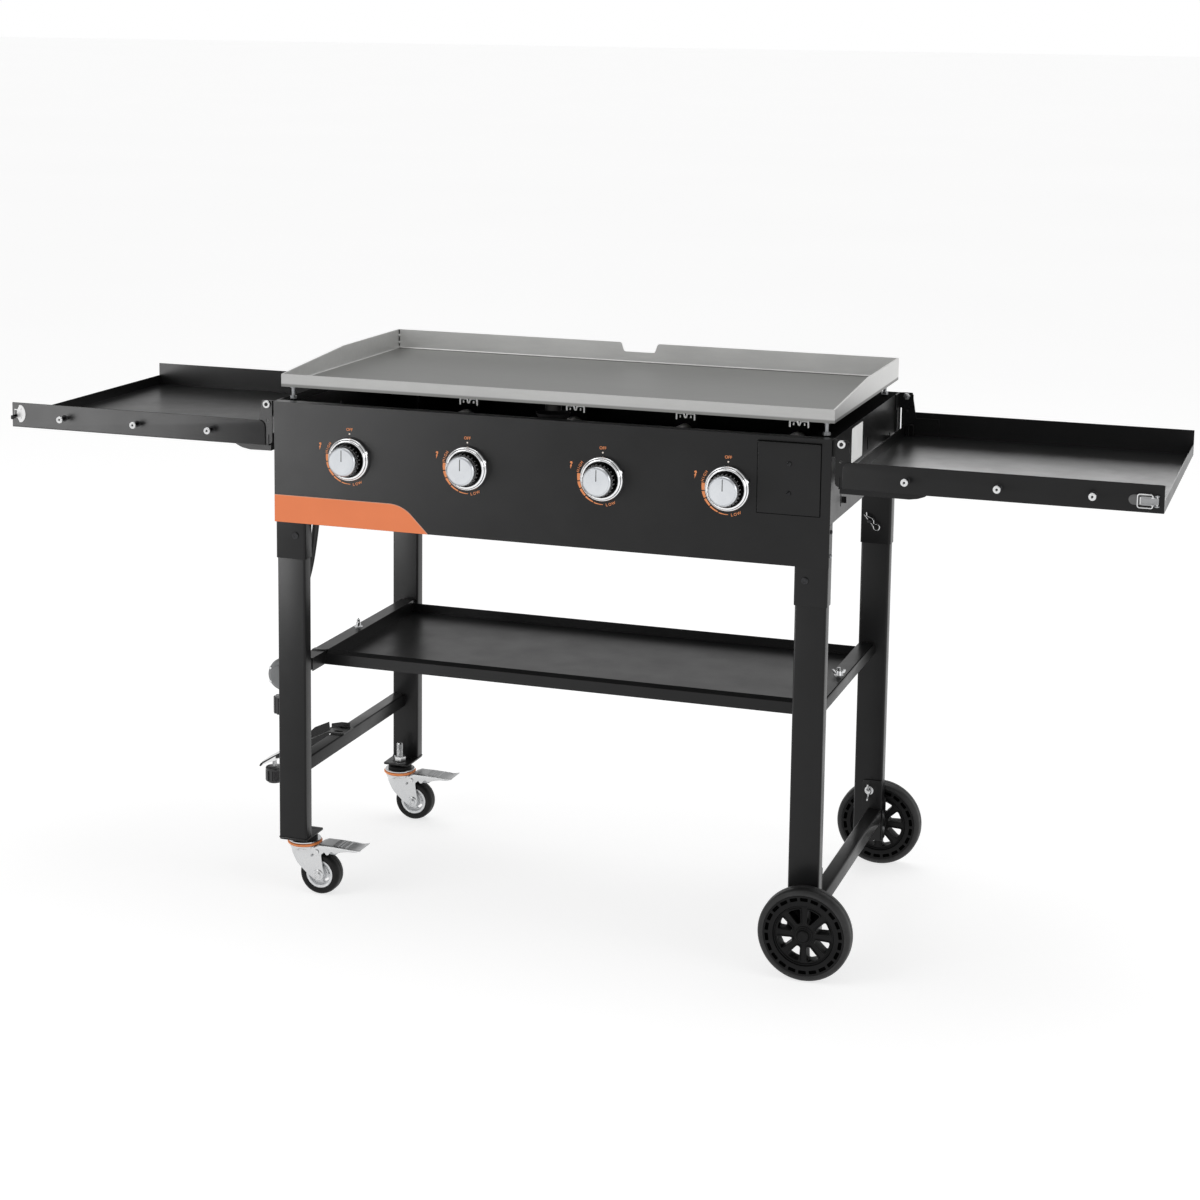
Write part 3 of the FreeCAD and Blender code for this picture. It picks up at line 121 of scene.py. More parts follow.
def ramp(nt, fac, stops):
    n = add(nt, "ShaderNodeValToRGB")
    e = n.color_ramp.elements
    e[0].position, e[0].color = stops[0][0], (*stops[0][1], 1)
    e[1].position, e[1].color = stops[-1][0], (*stops[-1][1], 1)
    for p, c in stops[1:-1]:
        k = e.new(p)
        k.color = (*c, 1)
    nt.links.new(fac, n.inputs["Fac"])
    return n.outputs["Color"]


def span(nt, fac, lo, hi, a=0.25, b=0.75):
    n = add(nt, "ShaderNodeMapRange")
    n.inputs["From Min"].default_value = a
    n.inputs["From Max"].default_value = b
    n.inputs["To Min"].default_value = lo
    n.inputs["To Max"].default_value = hi
    nt.links.new(fac, n.inputs["Value"])
    return n.outputs["Result"]


def bump(nt, b, height, strength, distance):
    n = add(nt, "ShaderNodeBump")
    n.inputs["Strength"].default_value = strength
    n.inputs["Distance"].default_value = distance
    nt.links.new(height, n.inputs["Height"])
    nt.links.new(n.outputs["Normal"], b.inputs["Normal"])
    return n


def coated(name, dark, light, r0, r1, grain=1400.0, strength=0.25, patch=9.0, specular=0.5, metallic=0.0):
    """A coating or plastic: slow colour patches, slow roughness patches and a fine grain."""
    m, nt, b = new_mat(name)
    v = coords(nt)
    slow = noise(nt, v, patch, 4.0, 0.6)
    nt.links.new(ramp(nt, slow, [(0.3, dark), (0.7, light)]), b.inputs["Base Color"])
    nt.links.new(span(nt, noise(nt, v, patch * 3.1, 3.0), r0, r1), b.inputs["Roughness"])
    b.inputs["Metallic"].default_value = metallic
    b.inputs["Specular IOR Level"].default_value = specular
    bump(nt, b, noise(nt, v, grain, 2.0), strength, 0.00012)
    return m


def metal(name, dark, light, r0, r1, stretch=(1, 1, 1), grain=900.0, strength=0.12, patch=14.0, aniso=0.0):
    """Bare or plated metal: streaks along one way, patches in its tone and in its gloss."""
    m, nt, b = new_mat(name)
    v = coords(nt)
    w = coords(nt, stretch)
    slow = noise(nt, v, patch, 5.0, 0.62)
    streak = noise(nt, w, grain, 3.0, 0.6)
    mix = add(nt, "ShaderNodeMath", operation="MULTIPLY_ADD")
    mix.inputs[1].default_value = 0.35
    nt.links.new(streak, mix.inputs[0])
    half = add(nt, "ShaderNodeMath", operation="MULTIPLY")
    half.inputs[1].default_value = 0.65
    nt.links.new(slow, half.inputs[0])
    nt.links.new(half.outputs[0], mix.inputs[2])
    nt.links.new(ramp(nt, mix.outputs[0], [(0.32, dark), (0.68, light)]), b.inputs["Base Color"])
    nt.links.new(span(nt, mix.outputs[0], r0, r1, 0.35, 0.65), b.inputs["Roughness"])
    b.inputs["Metallic"].default_value = 1.0
    b.inputs["Anisotropic"].default_value = aniso
    bump(nt, b, streak, strength, 0.00008)
    return m


M = {}
M["coat"] = coated("black_powder_coat", (0.0058, 0.0058, 0.0060), (0.0086, 0.0086, 0.0088), 0.28, 0.35, 1500.0, 0.16, 7.0, specular=0.22)
# painted shade: a darker, duller copy of the black coat for parts that sit in shade inside and under the body
M["coat_in"] = coated("black_coat_inside", (0.004, 0.004, 0.004), (0.007, 0.007, 0.007), 0.50, 0.62, 1500.0, 0.30, 9.0, specular=0.2)
M["orange"] = coated("orange_paint", (0.74, 0.190, 0.062), (0.80, 0.212, 0.072), 0.42, 0.52, 1300.0, 0.22, 8.0)
M["print"] = coated("orange_print", (0.72, 0.235, 0.075), (0.82, 0.290, 0.105), 0.50, 0.60, 1800.0, 0.10, 120.0)
M["print_light"] = coated("pale_print", (0.84, 0.74, 0.66), (0.90, 0.82, 0.74), 0.50, 0.60, 1800.0, 0.10, 120.0)
M["print_dark"] = coated("dark_print", (0.006, 0.006, 0.006), (0.010, 0.010, 0.010), 0.55, 0.65, 1800.0, 0.10, 120.0)
M["label"] = coated("blank_label", (0.74, 0.74, 0.73), (0.80, 0.80, 0.79), 0.35, 0.45, 900.0, 0.05, 30.0)
M["zinc"] = metal("zinc_plate", (0.58, 0.59, 0.60), (0.80, 0.80, 0.80), 0.16, 0.32, (1, 1, 1), 420.0, 0.10, 60.0)
M["fork"] = metal("bright_zinc_sheet", (0.60, 0.61, 0.62), (0.70, 0.70, 0.70), 0.17, 0.22, (1, 1, 1), 300.0, 0.015, 12.0)
M["dull_zinc"] = metal("dull_zinc", (0.30, 0.31, 0.32), (0.46, 0.47, 0.48), 0.30, 0.46, (1, 1, 1), 420.0, 0.15, 60.0)
M["chrome"] = metal("chrome", (0.86, 0.87, 0.88), (0.93, 0.93, 0.94), 0.045, 0.09, (1, 1, 1), 200.0, 0.01, 30.0)
M["cap"] = metal("satin_silver", (0.62, 0.64, 0.67), (0.74, 0.76, 0.78), 0.26, 0.36, (1, 1, 1), 1600.0, 0.06, 40.0)
M["dark_plastic"] = coated("black_plastic", (0.012, 0.012, 0.013), (0.018, 0.018, 0.019), 0.19, 0.27, 1600.0, 0.10, 20.0)
M["wheel"] = coated("wheel_plastic", (0.0030, 0.0030, 0.0032), (0.0060, 0.0060, 0.0062), 0.34, 0.46, 1100.0, 0.30, 25.0, specular=0.16)
M["tread"] = coated("wheel_tread", (0.007, 0.007, 0.0072), (0.016, 0.016, 0.0162), 0.40, 0.56, 900.0, 0.50, 55.0, specular=0.42)
# painted shade: a near-black finish laid in slots, gaps and along edges where shade falls
M["recess"] = coated("wheel_recess", (0.0004, 0.0004, 0.0004), (0.0008, 0.0008, 0.0008), 0.80, 0.90, 900.0, 0.30, 40.0, specular=0.02)
M["tyre"] = coated("caster_tyre", (0.004, 0.004, 0.004), (0.009, 0.009, 0.009), 0.36, 0.52, 1200.0, 0.35, 60.0, specular=0.2)
M["rim"] = coated("caster_rim", (0.66, 0.67, 0.68), (0.80, 0.81, 0.82), 0.28, 0.38, 900.0, 0.08, 60.0, metallic=0.35)
M["seal"] = coated("orange_seal", (0.80, 0.22, 0.055), (0.88, 0.30, 0.085), 0.38, 0.50, 900.0, 0.15, 60.0)
M["hose"] = coated("hose_rubber", (0.010, 0.010, 0.010), (0.018, 0.018, 0.018), 0.45, 0.60, 1500.0, 0.35, 60.0)
M["grey"] = coated("grey_paint", (0.16, 0.165, 0.17), (0.22, 0.225, 0.23), 0.38, 0.50, 900.0, 0.35, 30.0)
M["brass"] = metal("brass", (0.62, 0.44, 0.17), (0.78, 0.60, 0.28), 0.20, 0.36, (1, 1, 1), 500.0, 0.10, 60.0)
M["cast"] = metal("cast_alloy", (0.42, 0.43, 0.44), (0.58, 0.59, 0.60), 0.38, 0.55, (1, 1, 1), 700.0, 0.45, 50.0)
M["sheet"] = metal("aluminised_sheet", (0.42, 0.43, 0.44), (0.60, 0.61, 0.62), 0.32, 0.50, (1, 1, 1), 120.0, 0.10, 30.0)
M["burner"] = metal("burner_steel", (0.46, 0.45, 0.44), (0.66, 0.65, 0.63), 0.24, 0.40, (4, 0.2, 4), 500.0, 0.15, 12.0)
M["ceramic"] = coated("glazed_ceramic", (0.78, 0.77, 0.72), (0.85, 0.84, 0.80), 0.15, 0.28, 700.0, 0.06, 60.0)


def griddle_material():
    """Rolled steel with fine lines along the plate. The flat is coloured darker than the bent walls: painted shade on
    the flat, painted light on the walls.
    """
    m, nt, b = new_mat("griddle_steel_plate")
    c = add(nt, "ShaderNodeTexCoord")
    sep = add(nt, "ShaderNodeSeparateXYZ")
    nt.links.new(c.outputs["Object"], sep.inputs[0])
    wall = add(nt, "ShaderNodeMapRange")
    wall.inputs["From Min"].default_value = 0.8586
    wall.inputs["From Max"].default_value = 0.8606
    nt.links.new(sep.outputs["Z"], wall.inputs["Value"])
    fine = noise(nt, coords(nt, (0.5, 2.2, 2.2)), 1100.0, 3.0, 0.6)
    slow = noise(nt, coords(nt, (1.0, 1.6, 1.6)), 5.0, 5.0, 0.6)
    mid = noise(nt, coords(nt, (0.4, 2.0, 2.0)), 60.0, 4.0, 0.65)
    s1 = add(nt, "ShaderNodeMath", operation="MULTIPLY_ADD")
    s1.inputs[1].default_value = 0.30
    nt.links.new(fine, s1.inputs[0])
    s2 = add(nt, "ShaderNodeMath", operation="MULTIPLY_ADD")
    s2.inputs[1].default_value = 0.30
    nt.links.new(mid, s2.inputs[0])
    s3 = add(nt, "ShaderNodeMath", operation="MULTIPLY")
    s3.inputs[1].default_value = 0.40
    nt.links.new(slow, s3.inputs[0])
    nt.links.new(s3.outputs[0], s2.inputs[2])
    nt.links.new(s2.outputs[0], s1.inputs[2])
    tone = s1.outputs[0]
    # painted shade and painted light: the same steel in a dark tone on the flat and a light tone on the walls
    flat = ramp(nt, tone, [(0.34, (0.205, 0.206, 0.200)), (0.66, (0.275, 0.276, 0.268))])
    side = ramp(nt, tone, [(0.34, (0.640, 0.640, 0.632)), (0.66, (0.760, 0.760, 0.748))])
    mx = add(nt, "ShaderNodeMix", data_type="RGBA")
    nt.links.new(wall.outputs[0], mx.inputs[0])
    nt.links.new(flat, mx.inputs[6])
    # painted shade: the front lip's outer face is coloured darker than the walls
    front = add(nt, "ShaderNodeMapRange")
    front.inputs["From Min"].default_value = -0.2238
    front.inputs["From Max"].default_value = -0.2246
    nt.links.new(sep.outputs["Y"], front.inputs["Value"])
    lip = add(nt, "ShaderNodeMix", data_type="RGBA")
    nt.links.new(front.outputs[0], lip.inputs[0])
    nt.links.new(side, lip.inputs[6])
    nt.links.new(ramp(nt, tone, [(0.34, (0.440, 0.440, 0.434)), (0.66, (0.540, 0.540, 0.532))]), lip.inputs[7])
    nt.links.new(lip.outputs[2], mx.inputs[7])
    # painted shade: below the plate's edge the steel is coloured near black, for the shade under the plate
    under = add(nt, "ShaderNodeMapRange")
    under.inputs["From Min"].default_value = 0.8553
    under.inputs["From Max"].default_value = 0.8545
    nt.links.new(sep.outputs["Z"], under.inputs["Value"])
    low = add(nt, "ShaderNodeMix", data_type="RGBA")
    nt.links.new(under.outputs[0], low.inputs[0])
    nt.links.new(mx.outputs[2], low.inputs[6])
    nt.links.new(ramp(nt, slow, [(0.3, (0.018, 0.018, 0.017)), (0.7, (0.032, 0.031, 0.030))]), low.inputs[7])
    nt.links.new(low.outputs[2], b.inputs["Base Color"])
    b.inputs["Metallic"].default_value = 1.0
    nt.links.new(span(nt, tone, 0.36, 0.50, 0.35, 0.65), b.inputs["Roughness"])
    bump(nt, b, fine, 0.10, 0.00006)
    return m


M["griddle"] = griddle_material()
M["black_zinc"] = metal("black_zinc", (0.030, 0.030, 0.032), (0.060, 0.060, 0.062), 0.28, 0.42, (1, 1, 1), 500.0, 0.12, 60.0)
M["bright"] = metal("bright_clip", (0.80, 0.80, 0.80), (0.92, 0.92, 0.92), 0.30, 0.50, (1, 1, 1), 500.0, 0.06, 60.0)
M["weld"] = metal("ground_weld", (0.52, 0.52, 0.51), (0.68, 0.68, 0.67), 0.28, 0.42, (0.2, 2, 2), 700.0, 0.20, 30.0)
M["pedal"] = metal("pedal_zinc", (0.34, 0.345, 0.35), (0.46, 0.465, 0.47), 0.26, 0.40, (1, 1, 1), 420.0, 0.20, 60.0)
M["seam"] = metal("dark_seam_line", (0.012, 0.012, 0.012), (0.030, 0.029, 0.028), 0.55, 0.70, (1, 1, 1), 700.0, 0.20, 30.0)
M["base_zinc"] = metal("latch_base_zinc", (0.10, 0.10, 0.10), (0.16, 0.16, 0.16), 0.34, 0.48, (1, 1, 1), 500.0, 0.12, 60.0)
M["lever_zinc"] = metal("latch_lever_zinc", (0.26, 0.265, 0.27), (0.38, 0.385, 0.39), 0.32, 0.46, (1, 1, 1), 500.0, 0.12, 60.0)
M["bright_plate"] = metal("bright_zinc_plate", (0.78, 0.78, 0.78), (0.90, 0.90, 0.90), 0.38, 0.52, (1, 1, 1), 500.0, 0.06, 60.0)
M["skirt"] = metal("knob_skirt", (0.085, 0.085, 0.087), (0.13, 0.13, 0.132), 0.16, 0.24, (1, 1, 1), 900.0, 0.05, 60.0)
M["clip"] = coated("pale_plating", (0.55, 0.55, 0.55), (0.74, 0.74, 0.73), 0.35, 0.50, 900.0, 0.25, 30.0)
# painted highlight: a pale line for the light the orange field's edge catches
M["panel_line"] = coated("painted_edge_highlight", (0.62, 0.34, 0.24), (0.74, 0.44, 0.32), 0.50, 0.60, 1800.0, 0.10, 120.0)

# ---------------------------------------------------------------- building helpers (inputs in millimetres)
def register(o, body, replaces=()):
    scene.collection.objects.link(o)
    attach(o, body)
    if replaces:
        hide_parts(*replaces)
    return o


def tidy(me, sharp=38.0):
    bm = bmesh.new()
    bm.from_mesh(me)
    bmesh.ops.remove_doubles(bm, verts=bm.verts, dist=1e-6)
    loose = [v for v in bm.verts if not v.link_faces]
    bmesh.ops.delete(bm, geom=loose, context="VERTS")
    bmesh.ops.recalc_face_normals(bm, faces=bm.faces)
    bm.to_mesh(me)
    bm.free()
    me.polygons.foreach_set("use_smooth", [True] * len(me.polygons))
    me.set_sharp_from_angle(angle=math.radians(sharp))
    me.update()


def soften(o, width=0.5, segs=2, angle=32.0):
    b = o.modifiers.new("edge", "BEVEL")
    b.width = width * MM
    b.segments = segs
    b.limit_method = "ANGLE"
    b.angle_limit = math.radians(angle)
    b.use_clamp_overlap = True
    b.harden_normals = False
    w = o.modifiers.new("normals", "WEIGHTED_NORMAL")
    w.keep_sharp = True
    w.weight = 60
    return o


def from_data(name, verts, faces, mat, body, replaces=(), sharp=38.0, bevel=0.0, face_mats=None, mats=None):
    me = bpy.data.meshes.new(name)
    me.from_pydata([Vector(v) * MM for v in verts], [], faces)
    for m in (mats or [mat]):
        me.materials.append(m)
    if face_mats:
        me.polygons.foreach_set("material_index", face_mats)
    tidy(me, sharp)
    o = bpy.data.objects.new(name, me)
    register(o, body, replaces)
    if bevel:
        soften(o, bevel)
    return o


def circle(u, v, r, n=48, start=0.0):
    return [(u + r * math.cos(start + 2 * math.pi * k / n), v + r * math.sin(start + 2 * math.pi * k / n)) for k in range(n)]


def rounded(points, radius, n=5):
    """A closed polygon with each corner rounded; radius is one number or one for each corner."""
    out = []
    m = len(points)
    for i in range(m):
        p = Vector(points[i])
        a, c = Vector(points[i - 1]), Vector(points[(i + 1) % m])
        r = radius[i] if isinstance(radius, (list, tuple)) else radius
        u, v = (a - p), (c - p)
        lu, lv = u.length, v.length
        u.normalize(); v.normalize()
        half = math.acos(max(-1, min(1, u.dot(v)))) / 2
        if r <= 0 or half > math.radians(87):
            out.append(tuple(p))
            continue
        keep = min(r / math.tan(half), 0.48 * lu, 0.48 * lv)
        rr = keep * math.tan(half)
        centre = p + (u + v).normalized() * (rr / math.sin(half))
        a0 = p + u * keep - centre
        a1 = p + v * keep - centre
        t0, t1 = math.atan2(a0.y, a0.x), math.atan2(a1.y, a1.x)
        d = (t1 - t0 + math.pi) % (2 * math.pi) - math.pi
        for k in range(n + 1):
            t = t0 + d * k / n
            out.append((centre.x + rr * math.cos(t), centre.y + rr * math.sin(t)))
    return out


def rrect(u0, u1, v0, v1, r, n=5):
    return rounded([(u0, v0), (u1, v0), (u1, v1), (u0, v1)], r, n)


def plate_mesh(name, loops, w0, w1, bevel=0.3, res=2):
    cu = bpy.data.curves.new(name, "CURVE")
    cu.dimensions = "2D"
    cu.fill_mode = "BOTH"
    bevel = min(bevel, 0.49 * (w1 - w0))
    cu.extrude = (w1 - w0) / 2 - bevel
    cu.bevel_depth = bevel
    cu.bevel_resolution = res
    cu.offset = -bevel
    for loop in loops:
        sp = cu.splines.new("POLY")
        sp.points.add(len(loop) - 1)
        for k, p in enumerate(loop):
            sp.points[k].co = (p[0], p[1], 0, 1)
        sp.use_cyclic_u = True
    o = bpy.data.objects.new(name, cu)
    scene.collection.objects.link(o)
    bpy.context.view_layer.update()
    me = bpy.data.meshes.new_from_object(o.evaluated_get(bpy.context.evaluated_depsgraph_get()))
    bpy.data.objects.remove(o)
    bpy.data.curves.remove(cu)
    for v in me.vertices:
        v.co.z += (w0 + w1) / 2
    return me


PLANES = {   # (u, v, w) to the frame
    "xz": Matrix(((1, 0, 0, 0), (0, 0, -1, 0), (0, 1, 0, 0), (0, 0, 0, 1))),     # w grows towards -Y
    "xy": Matrix.Identity(4),
    "yz": Matrix(((0, 0, 1, 0), (1, 0, 0, 0), (0, 1, 0, 0), (0, 0, 0, 1))),      # w grows along +X
}


def plate(name, loops, w0, w1, plane, mat, body, slot=None, replaces=(), bevel=0.3, res=2, sharp=38.0):
    """A flat piece cut to loops in a plane: outer outline first, then holes. w0 and w1 are its two faces along the plane's normal
    (for xz: minus Y)."""
    me = plate_mesh(name, loops, w0, w1, bevel, res)
    me.transform(PLANES[plane])
    me.transform(Matrix.Scale(MM, 4))
    me.materials.clear()
    me.materials.append(mat)
    tidy(me, sharp)
    me.name = name
    o = bpy.data.objects.new(name, me)
    return register(o, body, replaces)


def lathe(name, profile, origin, axis, mat, body, replaces=(), segs=56, sharp=34.0, ring=False, mats=None, split=None):
    """A turned piece: profile is (radius, height) along the axis from the origin. ring closes the profile on itself."""
    axis = Vector(axis).normalized()
    side = X if abs(axis.dot(X)) < 0.9 else Y
    e1 = (side - axis * side.dot(axis)).normalized()
    e2 = axis.cross(e1)
    origin = Vector(origin)
    verts, rows = [], []
    for r, h in profile:
        if r < 1e-6:
            verts.append(origin + axis * h)
            rows.append([len(verts) - 1])
        else:
            row = []
            for k in range(segs):
                t = 2 * math.pi * k / segs
                verts.append(origin + axis * h + (e1 * math.cos(t) + e2 * math.sin(t)) * r)
                row.append(len(verts) - 1)
            rows.append(row)
    faces, fm = [], []
    count = len(rows)
    for i in range(count if ring else count - 1):
        a, b = rows[i], rows[(i + 1) % count]
        which = 0 if not split else (1 if split(*profile[i], *profile[(i + 1) % count]) else 0)
        if len(a) == 1 and len(b) == 1:
            continue
        for k in range(segs):
            j = (k + 1) % segs
            if len(a) == 1:
                faces.append((a[0], b[k], b[j]))
            elif len(b) == 1:
                faces.append((a[k], b[0], a[j]))
            else:
                faces.append((a[k], b[k], b[j], a[j]))
            fm.append(which)
    if not ring:
        for row, flip in ((rows[0], True), (rows[-1], False)):
            if len(row) > 1:
                faces.append(tuple(row))
                fm.append(0)
    return from_data(name, verts, faces, mat, body, replaces, sharp, face_mats=fm if split else None, mats=mats)


def threads(r, h0, h1, pitch=1.6, depth=0.55):
    out = []
    n = max(2, int(abs(h1 - h0) / pitch))
    s = (h1 - h0) / n
    for k in range(n):
        out += [(r - depth, h0 + s * k), (r, h0 + s * (k + 0.5))]
    out.append((r - depth, h1))
    return out


def path_points(points, radius, n=6, closed=False):
    """A route with its corners rounded, in millimetres."""
    pts = [Vector(p) for p in points]
    out = []
    m = len(pts)
    for i, p in enumerate(pts):
        if not closed and i in (0, m - 1):
            out.append(p)
            continue
        a, c = pts[i - 1], pts[(i + 1) % m]
        u, v = (a - p), (c - p)
        lu, lv = u.length, v.length
        u.normalize(); v.normalize()
        half = math.acos(max(-1, min(1, u.dot(v)))) / 2
        if half > math.radians(88):
            out.append(p)
            continue
        keep = min(radius / math.tan(half), 0.48 * lu, 0.48 * lv)
        rr = keep * math.tan(half)
        centre = p + (u + v).normalized() * (rr / math.sin(half))
        s, e = p + u * keep - centre, p + v * keep - centre
        ang = s.angle(e)
        for k in range(n + 1):
            t = k / n
            d = (s * math.sin((1 - t) * ang) + e * math.sin(t * ang)) / math.sin(ang) if ang > 1e-4 else s
            out.append(centre + d)
    return out


def wire(name, points, r, mat, body, replaces=(), closed=False, res=4):
    """A round wire along points, with closed ends, as a mesh."""
    cu = bpy.data.curves.new(name, "CURVE")
    cu.dimensions = "3D"
    cu.bevel_depth = r * MM
    cu.bevel_resolution = res
    cu.use_fill_caps = True
    sp = cu.splines.new("POLY")
    sp.points.add(len(points) - 1)
    for k, p in enumerate(points):
        sp.points[k].co = (*(Vector(p) * MM), 1)
    sp.use_cyclic_u = closed
    o = bpy.data.objects.new(name + "_c", cu)
    scene.collection.objects.link(o)
    bpy.context.view_layer.update()
    me = bpy.data.meshes.new_from_object(o.evaluated_get(bpy.context.evaluated_depsgraph_get()))
    bpy.data.objects.remove(o)
    bpy.data.curves.remove(cu)
    me.materials.clear()
    me.materials.append(mat)
    me.name = name
    tidy(me, 50.0)
    return register(bpy.data.objects.new(name, me), body, replaces)


def block(name, x0, x1, y0, y1, z0, z1, mat, body, replaces=(), bevel=0.4):
    v = [(x, y, z) for x in (x0, x1) for y in (y0, y1) for z in (z0, z1)]
    f = [(0, 1, 3, 2), (4, 6, 7, 5), (0, 4, 5, 1), (2, 3, 7, 6), (0, 2, 6, 4), (1, 5, 7, 3)]
    return from_data(name, v, f, mat, body, replaces, bevel=bevel)


def joined(name, objs, body, replaces=()):
    """Several built pieces as one object."""
    dg = bpy.context.evaluated_depsgraph_get()
    bpy.context.view_layer.update()
    bm = bmesh.new()
    mats = []
    for o in objs:
        me = bpy.data.meshes.new_from_object(o.evaluated_get(dg), preserve_all_data_layers=True, depsgraph=dg)
        me.transform(o.matrix_world)
        base = len(bm.faces)
        table = []
        for s in me.materials:
            if s not in mats:
                mats.append(s)
            table.append(mats.index(s))
        bm.from_mesh(me)
        bm.faces.ensure_lookup_table()
        for i in range(base, len(bm.faces)):
            bm.faces[i].material_index = table[bm.faces[i].material_index] if table else 0
        bpy.data.meshes.remove(me)
    out = bpy.data.meshes.new(name)
    bm.to_mesh(out)
    bm.free()
    for m in mats:
        out.materials.append(m)
    for o in objs:
        data = o.data
        bpy.data.objects.remove(o)
        if data.users == 0:
            bpy.data.meshes.remove(data)
    out.polygons.foreach_set("use_smooth", [True] * len(out.polygons))
    out.set_sharp_from_angle(angle=math.radians(38))
    o = bpy.data.objects.new(name, out)
    return register(o, body, replaces)


def hexagon(u, v, flats, start=0.0):
    r = flats / 2 / math.cos(math.pi / 6)
    return circle(u, v, r, 6, start)


def tube_bar(name, plane, u0, u1, v0, v1, w0, w1, radius, wall, mat, body, slot=None, replaces=()):
    """Rolled rectangular tube, open at both ends."""
    return plate(name, [rrect(u0, u1, v0, v1, radius, 5), rrect(u0 + wall, u1 - wall, v0 + wall, v1 - wall, max(0.3, radius - wall), 4)],
                 w0, w1, plane, mat, body, slot, replaces, bevel=0.25, res=1, sharp=50.0)


def dress(node, mat, bevel=0.45, angle=32.0, segs=2, slot=None):
    """A CAD node kept as it is, with a finish and softened edges."""
    o = nodes[node]
    me = o.data
    for k in range(len(me.materials)):
        me.materials[k] = mat
    if "custom_normal" in me.attributes:
        me.attributes.remove(me.attributes["custom_normal"])
    me.polygons.foreach_set("use_smooth", [True] * len(me.polygons))
    if "sharp_edge" in me.attributes:
        me.attributes.remove(me.attributes["sharp_edge"])
    w = o.modifiers.new("weld", "WELD")
    w.merge_threshold = 0.00002
    d = o.modifiers.new("flats", "DECIMATE")
    d.decimate_type = "DISSOLVE"
    d.angle_limit = math.radians(0.6)
    b = o.modifiers.new("edge", "BEVEL")
    b.width = max(bevel, 0.05) * MM
    b.segments = segs
    b.limit_method = "ANGLE"
    b.angle_limit = math.radians(angle)
    b.use_clamp_overlap = True
    b.harden_normals = True
    return o


def frame_at(origin, u, v):
    u, v = Vector(u).normalized(), Vector(v).normalized()
    w = u.cross(v)
    return Matrix(((u.x, v.x, w.x, origin[0]), (u.y, v.y, w.y, origin[1]), (u.z, v.z, w.z, origin[2]), (0, 0, 0, 1)))


def plate_at(name, loops, w0, w1, at, mat, body, replaces=(), bevel=0.3, res=2, sharp=38.0):
    me = plate_mesh(name, loops, w0, w1, bevel, res)
    me.transform(at)
    me.transform(Matrix.Scale(MM, 4))
    me.materials.clear()
    me.materials.append(mat)
    tidy(me, sharp)
    me.name = name
    o = bpy.data.objects.new(name, me)
    return register(o, body, replaces)


# ---------------------------------------------------------------- gas hose and regulator
ROUTE = [(-0.394, -0.226, 0.683), (-0.394, -0.226, 0.654), (-0.408, -0.205, 0.612), (-0.423, -0.194, 0.548),
         (-0.444, -0.188, 0.492), (-0.474, -0.185, 0.448), (-0.474, -0.185, 0.408)]


